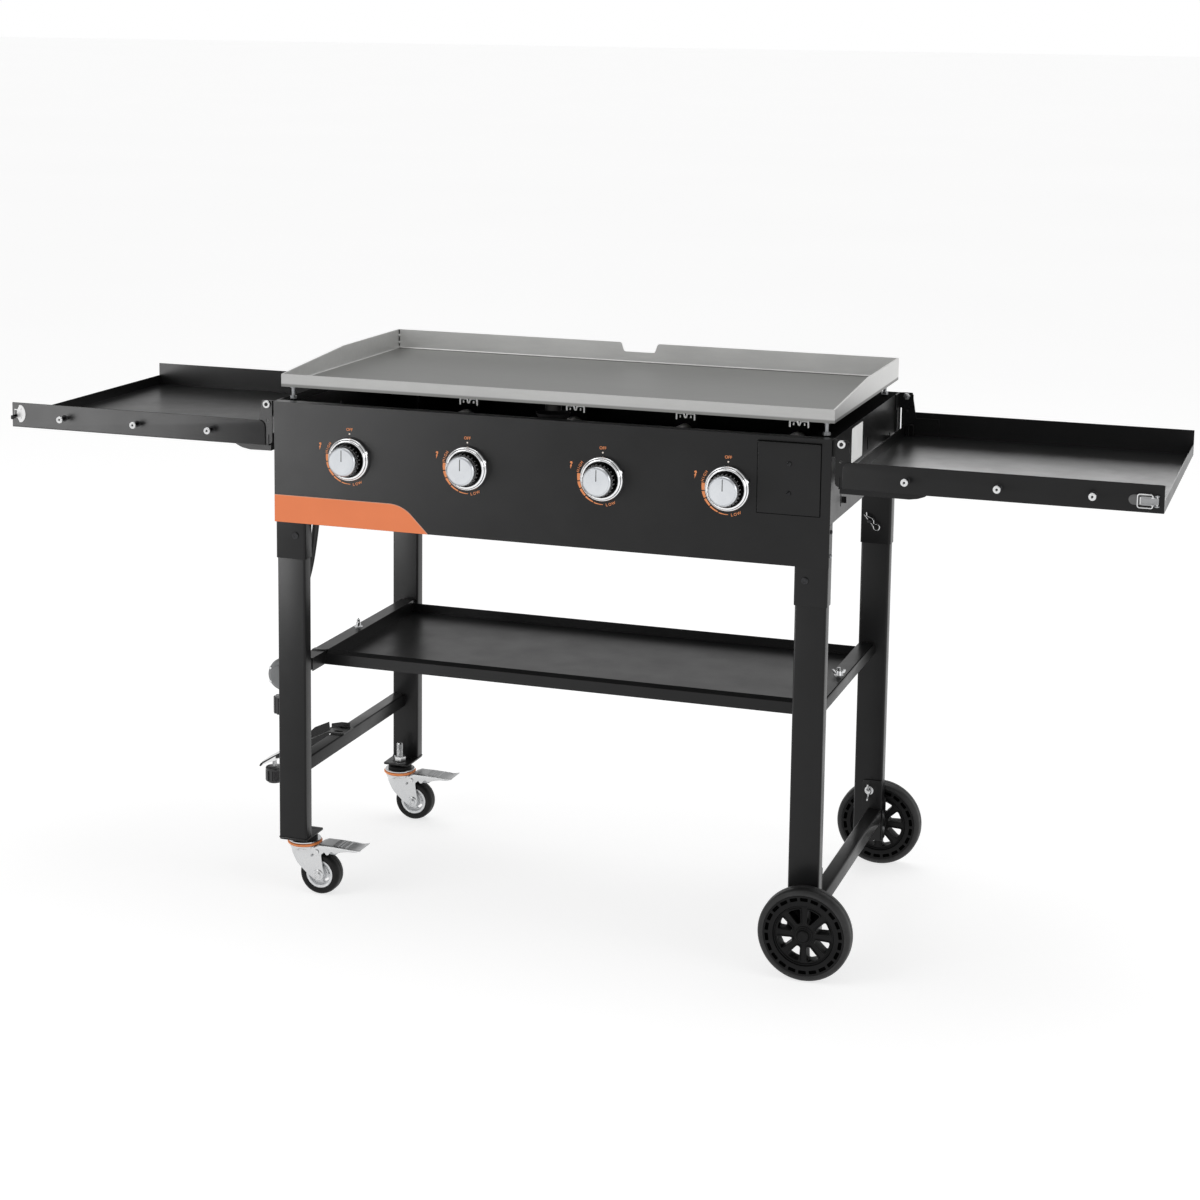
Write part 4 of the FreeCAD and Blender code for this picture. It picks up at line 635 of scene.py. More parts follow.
def make_hose():
    cu = bpy.data.curves.new("gas_hose_tube", "CURVE")
    cu.dimensions = "3D"
    cu.resolution_u = 24
    cu.bevel_depth = 0.0055
    cu.bevel_resolution = 8
    cu.use_fill_caps = True
    sp = cu.splines.new("NURBS")
    sp.points.add(len(ROUTE) - 1)
    for k, p in enumerate(ROUTE):
        sp.points[k].co = (*p, 1)
    sp.order_u = 3
    sp.use_endpoint_u = True
    cu.materials.append(M["hose"])
    o = bpy.data.objects.new("gas_hose_tube", cu)
    register(o, "station", ("gas_hose",))
    # crimped sleeve at the elbow, and the bend guard that tapers down from it
    a, b = Vector(ROUTE[0]) * 1000, Vector(ROUTE[1]) * 1000
    d = (b - a).normalized()
    sleeve = [(0, -2), (8.2, -2), (8.2, 0)] + [p for k in range(5) for p in ((8.2, 1.0 + k * 3.4), (7.5, 2.0 + k * 3.4), (7.5, 3.0 + k * 3.4), (8.2, 4.0 + k * 3.4))] + [(7.2, 19.5), (0, 19.5)]
    s1 = lathe("hose_crimp_top", sleeve, a, d, M["zinc"], "station")
    relief = [(5.4, 17)] + [(7.6 - 1.9 * (k / 8), 18 + k * 2.6) for k in range(9)] + [(5.4, 40.5)]
    s2 = lathe("hose_bend_guard", relief, a, d, M["hose"], "station")
    e, g = Vector(ROUTE[-1]) * 1000, Vector(ROUTE[-2]) * 1000
    d2 = (g - e).normalized()
    sleeve2 = [(0, -4), (8.0, -4), (8.0, 0)] + [p for k in range(4) for p in ((8.0, 1.0 + k * 3.4), (7.3, 2.0 + k * 3.4), (7.3, 3.0 + k * 3.4), (8.0, 4.0 + k * 3.4))] + [(7.0, 16), (0, 16)]
    s3 = lathe("hose_crimp_bottom", sleeve2, e, d2, M["zinc"], "station")
    # regulator: nut, neck, round chamber with its cover screws, vent, outlet and the hand nut
    x, y = -474.0, -185.0
    parts = []
    parts.append(plate_at("rg1", [hexagon(0, 0, 16.5)], 392, 404, Matrix.Translation((x, y, 0)), M["brass"], "station", bevel=0.8))
    parts.append(lathe("rg2", [(0, 380), (7.6, 380), (7.6, 386), (6.4, 388), (6.4, 393), (0, 393)], (x, y, 0), Z, M["grey"], "station"))
    half = [(0, -14), (22.5, -14), (25.5, -12.6), (26.6, -10), (26.6, -3.2), (27.4, -2.4), (27.4, 2.4), (26.6, 3.2), (26.0, 8.5), (23.5, 12.0),
            (18.8, 13.6), (18.2, 17.4), (17.2, 18.3), (6.0, 18.6), (0, 18.2)]
    parts.append(lathe("rg3", half, (x, y, 364), -Y, M["grey"], "station"))
    for k in range(6):
        t = math.radians(30 + 60 * k)
        parts.append(lathe("rgs%d" % k, [(0, -3), (2.6, -3), (2.6, 3.6), (2.2, 4.4), (0, 4.6)], (x + 23.2 * math.cos(t), y - 9.0, 364 + 23.2 * math.sin(t)), -Y, M["zinc"], "station", segs=20))
    parts.append(lathe("rg4", [(0, 324), (8, 324), (8, 330), (9.5, 332), (9.5, 336), (8, 338), (8, 342), (0, 342)], (x, y, 0), Z, M["grey"], "station"))
    lobes = []
    for k in range(12):
        t0 = 2 * math.pi * k / 12
        for j, r in ((0, 17.2), (0.16, 17.2), (0.30, 19.0), (0.5, 19.3), (0.70, 19.0), (0.84, 17.2)):
            t = t0 + j * 2 * math.pi / 12
            lobes.append((r * math.cos(t), r * math.sin(t)))
    parts.append(plate_at("rg5", [lobes], 298, 326, Matrix.Translation((x, y, 0)), M["dark_plastic"], "station", bevel=1.2))
    parts.append(lathe("rg6", [(0, 290.4), (8.4, 290.4), (9.6, 291.4), (9.6, 299), (0, 299)], (x, y, 0), Z, M["brass"], "station"))
    reg = joined("regulator_body", parts, "station", ("regulator",))


make_hose()

# ---------------------------------------------------------------- CAD nodes kept with a finish
dress("griddle_plate", M["griddle"], 0.9, segs=3)


def fillet(name, a, b, into, r, mat, body, n=6, ends=1.5):
    """A concave weld fillet along an inside corner from a to b; into is the horizontal direction away from the wall."""
    a, b = Vector(a), Vector(b)
    into = Vector(into)
    run = (b - a).normalized()
    verts, faces = [], []
    for p in (a, b):
        verts.append(p - into * 0.3 - Z * 0.3)
        for k in range(n + 1):
            t = math.pi / 2 * k / n
            verts.append(p + into * (r - r * math.cos(t)) + Z * (r - r * math.sin(t)))
    m = n + 2
    for k in range(m):
        q = (k + 1) % m
        faces.append((k, q, m + q, m + k))
    faces.append(tuple(range(m)))
    faces.append(tuple(range(2 * m - 1, m - 1, -1)))
    return from_data(name, verts, faces, mat, body, sharp=60)


def griddle_welds():
    f, w = 858.5, 454.0
    parts = [fillet("gw", (-w, 245.5, f), (w, 245.5, f), -Y, 2.2, M["weld"], "griddle"),
             fillet("gw", (-w, -222.6, f), (-w, 245.5, f), X, 2.0, M["weld"], "griddle"),
             fillet("gw", (w, -222.6, f), (w, 245.5, f), -X, 2.0, M["weld"], "griddle"),
             fillet("gw", (-w, -223.0, f), (w, -223.0, f), Y, 1.6, M["weld"], "griddle")]
    joined("griddle_welds", parts, "griddle")
    # dark line on the plate beside the back weld, and the two upright seams in the back corners
    parts = []
    seam = [(-452.0, 243.8), (452.0, 243.8), (452.0, 238.4), (-452.0, 240.4)]
    parts.append(plate("gh", [seam], 858.5, 858.56, "xy", M["seam"], "griddle", bevel=0.01, res=0))
    for sx in (-1, 1):
        parts.append(block("gs", sx * 454.0 - 0.9, sx * 454.0 + 0.9, 244.2, 245.9, 862.0, 890.8, M["seam"], "griddle", bevel=0.3))
        for z, h in ((866.0, 5.0), (878.0, 6.0)):
            parts.append(lathe("gt", [(0, 0), (1.6, 0.5), (2.0, h * 0.5), (1.5, h - 0.4), (0, h)], (sx * 453.2, 244.6, z), Z, M["weld"], "griddle", segs=14))
    joined("griddle_seams", parts, "griddle")


griddle_welds()
for n in ("front_panel", "side_panel_right", "side_panel_left", "side_shelf_right", "side_shelf_left", "bottom_shelf", "accessory_plate", "tank_arm"):
    dress(n, M["coat"], 0.5)
dress("rear_panel", M["coat"], 0.4)
# the firebox floor and burner rail take the coat with painted shade
dress("firebox_floor", M["coat_in"], 0.4)
dress("burner_rail", M["coat_in"], 0.4)


def burner_clips():
    """The bright spring wire over each burner's end, bent into two arches."""
    parts = []
    for x in (-300.0, -100.0, 100.0, 300.0):
        pts = [Vector((x + u, 197.2, v)) for u, v in ((-16, 771), (-16, 782.0), (-3.2, 782.0), (-1.2, 775.0), (1.2, 775.0), (3.2, 782.0), (16, 782.0), (16, 771))]
        parts.append(wire("bc", path_points(pts, 2.6, 4), 1.5, M["clip"], "station", res=3))
        parts.append(wire("bd", [Vector((x - 9.5, 197.2, 774.5)), Vector((x - 9.5, 197.2, 778.5))], 1.3, M["clip"], "station", res=3))
        parts.append(wire("be", [Vector((x + 9.5, 197.2, 774.5)), Vector((x + 9.5, 197.2, 778.5))], 1.3, M["clip"], "station", res=3))
    joined("burner_clips", parts, "station")


burner_clips()
# the grease chute and cup take the coat with painted shade
dress("grease_chute", M["coat_in"], 0.4)
dress("grease_cup", M["coat_in"], 0.5)
dress("griddle_posts", M["dull_zinc"], 0.5)
dress("gas_valves", M["cast"], 0.7)
dress("gas_manifold", M["zinc"], 0.6)
dress("burners", M["burner"], 0.4)
dress("igniter_electrodes", M["ceramic"], 0.3)
for k in (1, 2, 3, 4):
    dress("valve_stem_%d" % k, M["brass"], 0.25)

# ---------------------------------------------------------------- legs, sockets, crossbars
def legs():
    parts = []
    for sx in (-1, 1):
        for sy in (-1, 1):
            u = sorted((sx * 405.4, sx * 457.8))
            v = sorted((sy * 220.4, sy * 247.8))
            parts.append(tube_bar("sk", "xy", u[0], u[1], v[0], v[1], 577, 832, 4.2, 1.2, M["coat"], "station"))
    joined("leg_sleeves", parts, "station", ("leg_sockets",))
    for name, sx, sy in (("leg_front_left", -1, -1), ("leg_rear_left", -1, 1), ("leg_front_right", 1, -1), ("leg_rear_right", 1, 1)):
        u = sorted((sx * 407.1, sx * 456.1))
        v = sorted((sy * 222.1, sy * 246.1))
        low = 104 if sx < 0 else 55
        parts = [tube_bar("lt", "xy", u[0], u[1], v[0], v[1], low, 790, 3.4, 1.5, M["coat"], "station")]
        if sx < 0:
            f = sorted((sy * 178.0, sy * 246.1))
            parts.append(plate("fp", [rrect(u[0], u[1], f[0], f[1], 4), circle(-431.6, sy * 199.0, 6.0, 32)], 101, 104, "xy", M["coat"], "station", bevel=0.5))
            # weld bead round the foot of the tube
            bead = [Vector((p[0], p[1], 104.3)) for p in rrect(u[0] - 0.2, u[1] + 0.2, v[0] - 0.2, v[1] + 0.2, 3.6, 4)]
            parts.append(wire("wb", bead, 1.0, M["coat"], "station", closed=True, res=2))
        else:
            b = sorted((-sy * 246.1, -sy * 249.1))
            parts.append(plate("br", [rounded([(420.0, 55), (458.1, 55), (458.1, 125), (420.0, 125)], [8, 2, 2, 8], 5), circle(443, 73, 5.0, 32)], b[0], b[1], "xz", M["coat"], "station", bevel=0.5))
            g = sorted((sy * 223.1, sy * 249.1))
            parts.append(plate("bs", [rrect(g[0], g[1], 55, 110, 2.5)], 456.1, 458.1, "yz", M["coat"], "station", bevel=0.5))
        joined(name + "_tube", parts, "station", (name,))
    parts = []
    for sx in (-1, 1):
        u = sorted((sx * 411.5, sx * 435.5))
        parts.append(tube_bar("cb", "xz", u[0], u[1], 383, 403, -222.1, 222.1, 2.6, 1.5, M["coat"], "station"))
    joined("crossbars_upper_tubes", parts, "station", ("crossbars_upper",))
    joined("crossbar_left_tube", [tube_bar("cl", "xz", -456.1, -432.1, 199.5, 223.5, -222.1, 222.1, 2.8, 1.5, M["coat"], "station")],
           "station", ("crossbar_lower_left",))
    parts = [tube_bar("cr", "xz", 432.1, 456.1, 88.5, 112.5, -222.1, 222.1, 2.8, 1.5, M["coat"], "station")]
    for sy in (-1, 1):
        w = sorted((-sy * 220.1, -sy * 222.1))
        parts.append(plate("ce", [rounded([(422.1, 110.5), (456.1, 110.5), (456.1, 162.5), (422.1, 162.5)], [1, 1, 3, 6], 4), circle(434, 144, 3.2, 24)],
                           w[0], w[1], "xz", M["coat"], "station", bevel=0.5))
    joined("crossbar_right_tube", parts, "station", ("crossbar_lower_right",))


legs()

# ---------------------------------------------------------------- pins, clips, wing nuts, screws
def screw_head(name, origin, axis, r, h, mat, body, cross=True, washer=0.0):
    """Pan head with a cross recess, standing on the plane through the origin."""
    axis = Vector(axis)
    side = X if abs(axis.dot(X)) < 0.9 else Y
    u = (side - axis * side.dot(axis)).normalized()
    v = axis.cross(u)
    at = frame_at(origin, u, v)
    a, c = r * 0.62, r * 0.13
    plus = [(c, c), (a, c), (a, -c), (c, -c), (c, -a), (-c, -a), (-c, -c), (-a, -c), (-a, c), (-c, c), (-c, a), (c, a)]
    out = [lathe(name + "b", [(0, 0), (r, 0), (r, h * 0.35), (r * 0.93, h * 0.55), (r * 0.7, h * 0.58), (0, h * 0.58)], origin, axis, mat, body, segs=32)]
    out.append(plate_at(name + "t", [circle(0, 0, r * 0.94, 32), plus] if cross else [circle(0, 0, r * 0.94, 32)], h * 0.45, h, at, mat, body, bevel=min(h * 0.26, r * 0.3), res=3))
    if washer:
        out.append(lathe(name + "w", [(0, 0), (washer, 0), (washer, 0.9), (washer - 0.4, 1.2), (0, 1.2)], origin, axis, mat, body, segs=32))
    return out


def hex_nut(name, origin, axis, flats, h, mat, body, bore=0.0):
    axis = Vector(axis)
    side = X if abs(axis.dot(X)) < 0.9 else Y
    u = (side - axis * side.dot(axis)).normalized()
    at = frame_at(origin, u, axis.cross(u))
    loops = [hexagon(0, 0, flats)] + ([circle(0, 0, bore, 28)] if bore else [])
    return plate_at(name, loops, 0, h, at, mat, body, bevel=min(0.7, h * 0.2), res=2)


def pins():
    parts = []
    for sx in (-1, 1):
        for sy in (-1, 1):
            x = sx * 422.5
            out = sy * 247.8
            prof = [(0, -38), (2.6, -38), (4, -36), (4, 0), (5.5, 0), (5.5, 1.3), (5.0, 1.9), (4.2, 2.15), (2.4, 2.2), (2.2, 1.7), (0, 1.6)]
            parts.append(lathe("p", prof, (x, out, 616), Y * sy, M["black_zinc"], "station", segs=36))
            # spring clip through the pin's end: one straight leg, a round loop, and a wavy leg, all slanting down to the right
            y = sy * 213.6
            d = Vector((0.66, 0, -0.75)) if sx > 0 else Vector((-0.66, 0, -0.75))
            n = Vector((0.75, 0, 0.66)) if sx > 0 else Vector((-0.75, 0, 0.66))
            c = Vector((x, y, 616))

            def at(a, b):
                return c + d * a + n * b
            loop = [at(15.0 + 5.2 * math.cos(t), 2.6 + 5.2 * math.sin(t)) for t in [math.radians(a) for a in range(-130, 151, 20)]]
            pts = [at(-15, 0.0), at(6.0, -0.3), at(10.5, -0.9)] + loop + [at(7.0, 3.2), at(3.0, 6.0), at(-1.0, 6.6), at(-5.5, 4.4), at(-10.0, 1.9), at(-15.0, 5.4)]
            parts.append(wire("c", path_points(pts, 1.8, 4), 0.95, M["zinc"], "station", res=3))
    joined("leg_pins_and_clips", parts, "station", ("leg_pins",))


pins()


def wing_nuts():
    parts = []

    def one(origin, axis, along, tag, s=1.0):
        axis, along = Vector(axis), Vector(along)
        out = [lathe(tag + "h", [(3.0, 0), (5.4, 0), (5.4, 1.2), (4.6, 2.4), (4.1, 7.6), (3.6, 8.2), (3.0, 8.2)], origin, axis, M["zinc"], "station", segs=32, ring=True)]
        out.append(lathe(tag + "s", [(0, -2)] + threads(3.0, -2, 13.2, 1.0, 0.35) + [(0, 13.2)], origin, axis, M["zinc"], "station", segs=20))
        out.append(lathe(tag + "w", [(3.2, -0.2), (7.6, -0.2), (7.6, 0.9), (3.2, 0.9)], origin, axis, M["zinc"], "station", segs=32, ring=True))
        for g in (-1, 1):
            ear = rounded([(3.4, 1.0), (6.0 * s, 1.4), (12.6 * s, 6.0 * s), (15.4 * s, 11.0 * s), (14.8 * s, 15.2 * s), (10.8 * s, 14.6 * s), (7.6 * s, 9.4 * s), (3.4, 7.8 * s)], [0.5, 1, 2, 2, 2, 2, 2, 0.5], 4)
            at = frame_at(origin, along * g, axis)
            out.append(plate_at(tag + "e", [ear], -1.2, 1.2, at, M["zinc"], "station", bevel=0.8, res=3))
        return out
    for sx in (-1, 1):
        parts += one((sx * 424.0, 0, 404.3), Z, Vector((-0.41, 0.91, 0)) if sx < 0 else Vector((0.94, 0.34, 0)), "a", 0.85 if sx < 0 else 0.72)
    for sy in (-1, 1):
        parts += one((434.0, sy * 220.1, 144.0), -Y * sy, Z, "b")
    joined("wing_nuts_detailed", parts, "station", ("wing_nuts",))


wing_nuts()


def hex_screw(name, origin, axis, r, h, body, mat=None, socket=0.86):
    """Round head with a hexagon socket and a bright rim; a near-black plate at the socket's floor is painted shade."""
    mat = mat or M["zinc"]
    axis = Vector(axis)
    side = X if abs(axis.dot(X)) < 0.9 else Y
    u = (side - axis * side.dot(axis)).normalized()
    at = frame_at(origin, u, axis.cross(u))
    out = [lathe(name + "b", [(0, 0), (r * 0.96, 0), (r, h * 0.12), (r, h * 0.5), (0, h * 0.5)], origin, axis, mat, body, segs=40)]
    out.append(plate_at(name + "t", [circle(0, 0, r * 0.995, 40), hexagon(0, 0, r * socket, 0.3)], h * 0.3, h, at, mat, body, bevel=min(h * 0.34, r * 0.26), res=4))
    # painted shade: a near-black plate in the socket
    out.append(plate_at(name + "d", [hexagon(0, 0, r * (socket - 0.02), 0.3)], h * 0.42, h * 0.56, at, M["print_dark"], body, bevel=0.02, res=0))
    return out


def hinge_screws():
    parts = []
    for g in (-1, 1):
        x = g * 473.0
        for sy, face, inner in ((-1, -246.2, -241.4), (1, 252.2, 247.0)):
            parts += hex_screw("h", (x, face, 828), Y * sy, 6.3, 3.4, "station")
            parts.append(lathe("s", [(0, 0), (3, 0), (3, 9.0), (0, 9.0)], (x, face, 828), -Y * sy, M["zinc"], "station", segs=20))
            parts.append(hex_nut("n", (x, inner if sy < 0 else 247.0, 828), -Y * sy, 10.4, 4.0, M["zinc"], "station"))
    for z in (748.6, 793.7):
        parts += screw_head("a", (394.5, -250.2, z), -Y, 3.6, 2.0, M["black_zinc"], "station")
    joined("hinge_and_plate_screws", parts, "station", ("hinge_bolts",))
    # small screws through the control panel's side flanges into the legs' sleeves
    parts = []
    for sx in (-1, 1):
        parts += screw_head("f", (sx * 459.0, -238.5, 655), X * sx, 3.2, 1.8, M["dull_zinc"], "station")
        parts += screw_head("f", (sx * 459.0, -238.5, 692), X * sx, 3.2, 1.8, M["black_zinc"], "station")
    joined("flange_screws", parts, "station")


hinge_screws()

# ---------------------------------------------------------------- knobs, bezels and dial marks
KNOBS = [-326.0, -124.0, 100.0, 300.0]
KZ = 749.0


def dials():
    parts = []
    for x in KNOBS:
        prof = [(27.1, 0.0), (35.5, 0.0), (35.5, 2.6), (35.2, 4.6), (34.6, 6.4), (33.8, 7.6), (33.1, 8.0), (32.7, 8.1), (32.5, 9.2), (31.6, 10.7), (30.4, 11.7), (29.3, 12.0), (28.2, 11.6), (27.6, 10.4), (27.1, 8.0)]
        parts.append(lathe("bz", prof, (x, -249.0, KZ), -Y, M["chrome"], "station", segs=96, ring=True, sharp=40))
        for a in (22.0,):
            t = math.radians(a)
            nub = [(0, -2.6), (2.9, -2.6), (2.9, 1.6), (2.4, 2.2), (1.4, 2.5), (0, 2.5)]
            parts.append(lathe("bn", nub, (x + 34.4 * math.cos(t), -254.0, KZ + 34.4 * math.sin(t)), Vector((math.cos(t), 0, math.sin(t))), M["chrome"], "station", segs=24))
    joined("knob_rings", parts, "station", ("knob_bezels",))
    for i, x in enumerate(KNOBS, 1):
        body = "knob_%d" % i
        flutes = []
        for k in range(24):
            for j, r in ((0.0, 23.3), (0.16, 23.4), (0.28, 24.6), (0.38, 25.3), (0.62, 25.3), (0.72, 24.6), (0.84, 23.4)):
                t = 2 * math.pi * (k + j) / 24
                flutes.append((x + r * math.cos(t), KZ + r * math.sin(t)))
        skirt = plate("kn_skirt", [flutes, circle(x, KZ, 4.05, 28)], 255.6, 274.6, "xz", M["skirt"], body, bevel=0.6, res=3)
        neck = lathe("kn_neck", [(4.0, 0), (22.2, 0), (22.4, 0.3), (22.4, 2.4), (4.0, 2.4)], (x, -274.0, KZ), -Y, M["print_dark"], body, segs=72, ring=True)
        # silver cap: rolled rim, a shallow step, then a face that is very slightly domed
        face = [(4.0, 0.0), (22.9, 0.0), (23.3, 0.4), (23.3, 2.2), (23.0, 2.9), (21.3, 4.55), (20.8, 4.85), (20.45, 4.4), (20.1, 4.75), (14.0, 4.9), (7.0, 5.0), (4.0, 5.02)]
        rim = lathe("kn_rim", face, (x, -276.4, KZ), -Y, M["cap"], body, segs=96, ring=True, sharp=24)
        plug = lathe("kn_plug", [(0, 0.4), (4.0, 0.4), (4.0, 5.0), (0, 5.02)], (x, -276.4, KZ), -Y, M["cap"], body, segs=48, sharp=50)
        inlay = plate("kn_line", [rounded([(x - 0.75, KZ + 1.0), (x + 0.75, KZ + 1.0), (x + 0.55, KZ + 19.2), (x - 0.55, KZ + 19.2)], 0.4, 3)], 280.6, 281.55, "xz", M["print_dark"], body, bevel=0.1, res=1)
        joined("knob_%d_body" % i, [skirt, neck, rim, plug, inlay], body, ("knob_%d" % i,))


dials()


def letters(text, size, origin, mat, rotate=0.0, wide=1.0, depth=0.10, spacing=1.0):
    """Flat printed letters on the control panel, centred on the origin (x, z)."""
    cu = bpy.data.curves.new("letters", "FONT")
    cu.body = text
    cu.size = size * 1.42
    cu.align_x = "CENTER"
    cu.align_y = "CENTER"
    cu.extrude = depth / 2
    cu.offset = size * 0.018
    cu.space_character = spacing
    o = bpy.data.objects.new("letters", cu)
    scene.collection.objects.link(o)
    bpy.context.view_layer.update()
    me = bpy.data.meshes.new_from_object(o.evaluated_get(bpy.context.evaluated_depsgraph_get()))
    bpy.data.objects.remove(o)
    bpy.data.curves.remove(cu)
    me.transform(Matrix.Scale(wide, 4, Vector((1, 0, 0))))
    me.transform(Matrix.Rotation(rotate, 4, "Z"))
    me.transform(Matrix.Translation((origin[0], origin[1], 249.0 + depth / 2)))
    me.transform(PLANES["xz"])
    me.transform(Matrix.Scale(MM, 4))
    me.materials.clear()
    me.materials.append(mat)
    tidy(me, 30)
    o = bpy.data.objects.new("letters", me)
    return register(o, "station")


def arc_band(x, z, a0, a1, r0a, r1a, r0b, r1b, n=16):
    """A curved bar between two angles; its two radii change along it."""
    out, back = [], []
    for k in range(n + 1):
        f = k / n
        t = math.radians(a0 + (a1 - a0) * f)
        ro, ri = r1a + (r1b - r1a) * f, r0a + (r0b - r0a) * f
        out.append((x + ro * math.cos(t), z + ro * math.sin(t)))
        back.append((x + ri * math.cos(t), z + ri * math.sin(t)))
    return out + back[::-1]


def dial_marks():
    parts = []
    for x in KNOBS:
        parts.append(letters("OFF", 4.5, (x, KZ + 47.6), M["print"]))
        parts.append(plate("dt", [circle(x, KZ + 40.6, 1.35, 24)], 249.0, 249.1, "xz", M["print_light"], "station", bevel=0.02, res=0))
        # HIGH follows the dial, so each letter turns a little more than the last
        for ch, a in zip("HIGH", (166.5, 160.3, 153.9, 146.5)):
            t = math.radians(a)
            parts.append(letters(ch, 4.2, (x + 40.8 * math.cos(t), KZ + 40.8 * math.sin(t)), M["print"], rotate=t - math.pi / 2))
        for ch, a in zip("LOW", (280.0, 287.6, 296.4)):
            t = math.radians(a)
            parts.append(letters(ch, 4.3, (x + 41.6 * math.cos(t), KZ + 41.6 * math.sin(t)), M["print"], rotate=t + math.pi / 2))
        # bar that thins from high to low, in segments
        for a0, a1, w0, w1 in ((171.5, 188.0, 5.0, 4.6), (190.5, 205.5, 4.5, 3.8), (208.0, 225.5, 3.6, 2.8), (228.0, 248.0, 2.6, 1.7), (250.5, 272.0, 1.6, 0.9)):
            parts.append(plate("ab", [arc_band(x, KZ, a0, a1, 41.6 - w0, 41.6, 41.2 - w1, 41.2, 12)], 249.0, 249.1, "xz", M["print"], "station", bevel=0.02, res=0))
        # spark sign
        zig = [(-1.2, 5.0), (0.9, 5.3), (2.0, 2.9), (0.7, 0.5), (1.6, 0.2), (0.3, -5.2), (-0.3, -1.2), (-1.1, -0.9), (0.5, 2.3), (-1.7, 3.1)]
        parts.append(plate("zg", [[(x - 52.0 + 1.25 * u + 0.18 * v, KZ + 17.5 + 1.15 * v) for u, v in zig]], 249.0, 249.1, "xz", M["print"], "station", bevel=0.02, res=0))
    joined("dial_marks", parts, "station")
    # orange field at the lower left of the panel: straight top, round shoulder, then a straight slope
    def field(inset, x0, low):
        r = 55.0
        d = inset
        top, cx, cz = 682.0 - d, -258.0, 682.0 - r
        arc = []
        for k in range(13):
            t = math.radians(90 - 45 * k / 12)
            arc.append((cx + (r - d) * math.cos(t), cz + (r - d) * math.sin(t)))
        ex, ez = arc[-1]
        arc.append((ex + (ez - low), low))
        return [(x0, low), (x0, top)] + arc
    # painted shadow and painted highlight: a near-black outline and a pale line round the orange field's edge
    plate("orange_field_painted_shadow", [field(-0.9, -458.9, 637.0)], 249.0, 249.08, "xz", M["print_dark"], "station", bevel=0.02, res=0)
    plate("orange_field_painted_highlight", [field(0.0, -458.8, 637.2)], 249.0, 249.12, "xz", M["panel_line"], "station", bevel=0.02, res=0)
    plate("orange_field", [field(0.8, -458.8, 637.2)], 249.0, 249.16, "xz", M["orange"], "station", bevel=0.03, res=0)


dial_marks()

# ---------------------------------------------------------------- casters
def interp(table, x):
    if x <= table[0][0]:
        return table[0][1]
    for (a, u), (b, v) in zip(table, table[1:]):
        if x <= b:
            f = (x - a) / (b - a)
            f = f * f * (3 - 2 * f) if False else f
            return u + (v - u) * f
    return table[-1][1]


def smooth_line(points, n=6):
    """Catmull-Rom through a few points, for outlines of pressed parts."""
    out = []
    m = len(points)
    for i in range(m - 1):
        p0 = Vector(points[max(0, i - 1)]); p1 = Vector(points[i]); p2 = Vector(points[i + 1]); p3 = Vector(points[min(m - 1, i + 2)])
        for k in range(n):
            t = k / n
            out.append(tuple(0.5 * ((2 * p1) + (p2 - p0) * t + (2 * p0 - 5 * p1 + 4 * p2 - p3) * t * t + (3 * p1 - p0 - 3 * p2 + p3) * t ** 3)))
    out.append(tuple(points[-1]))
    return out


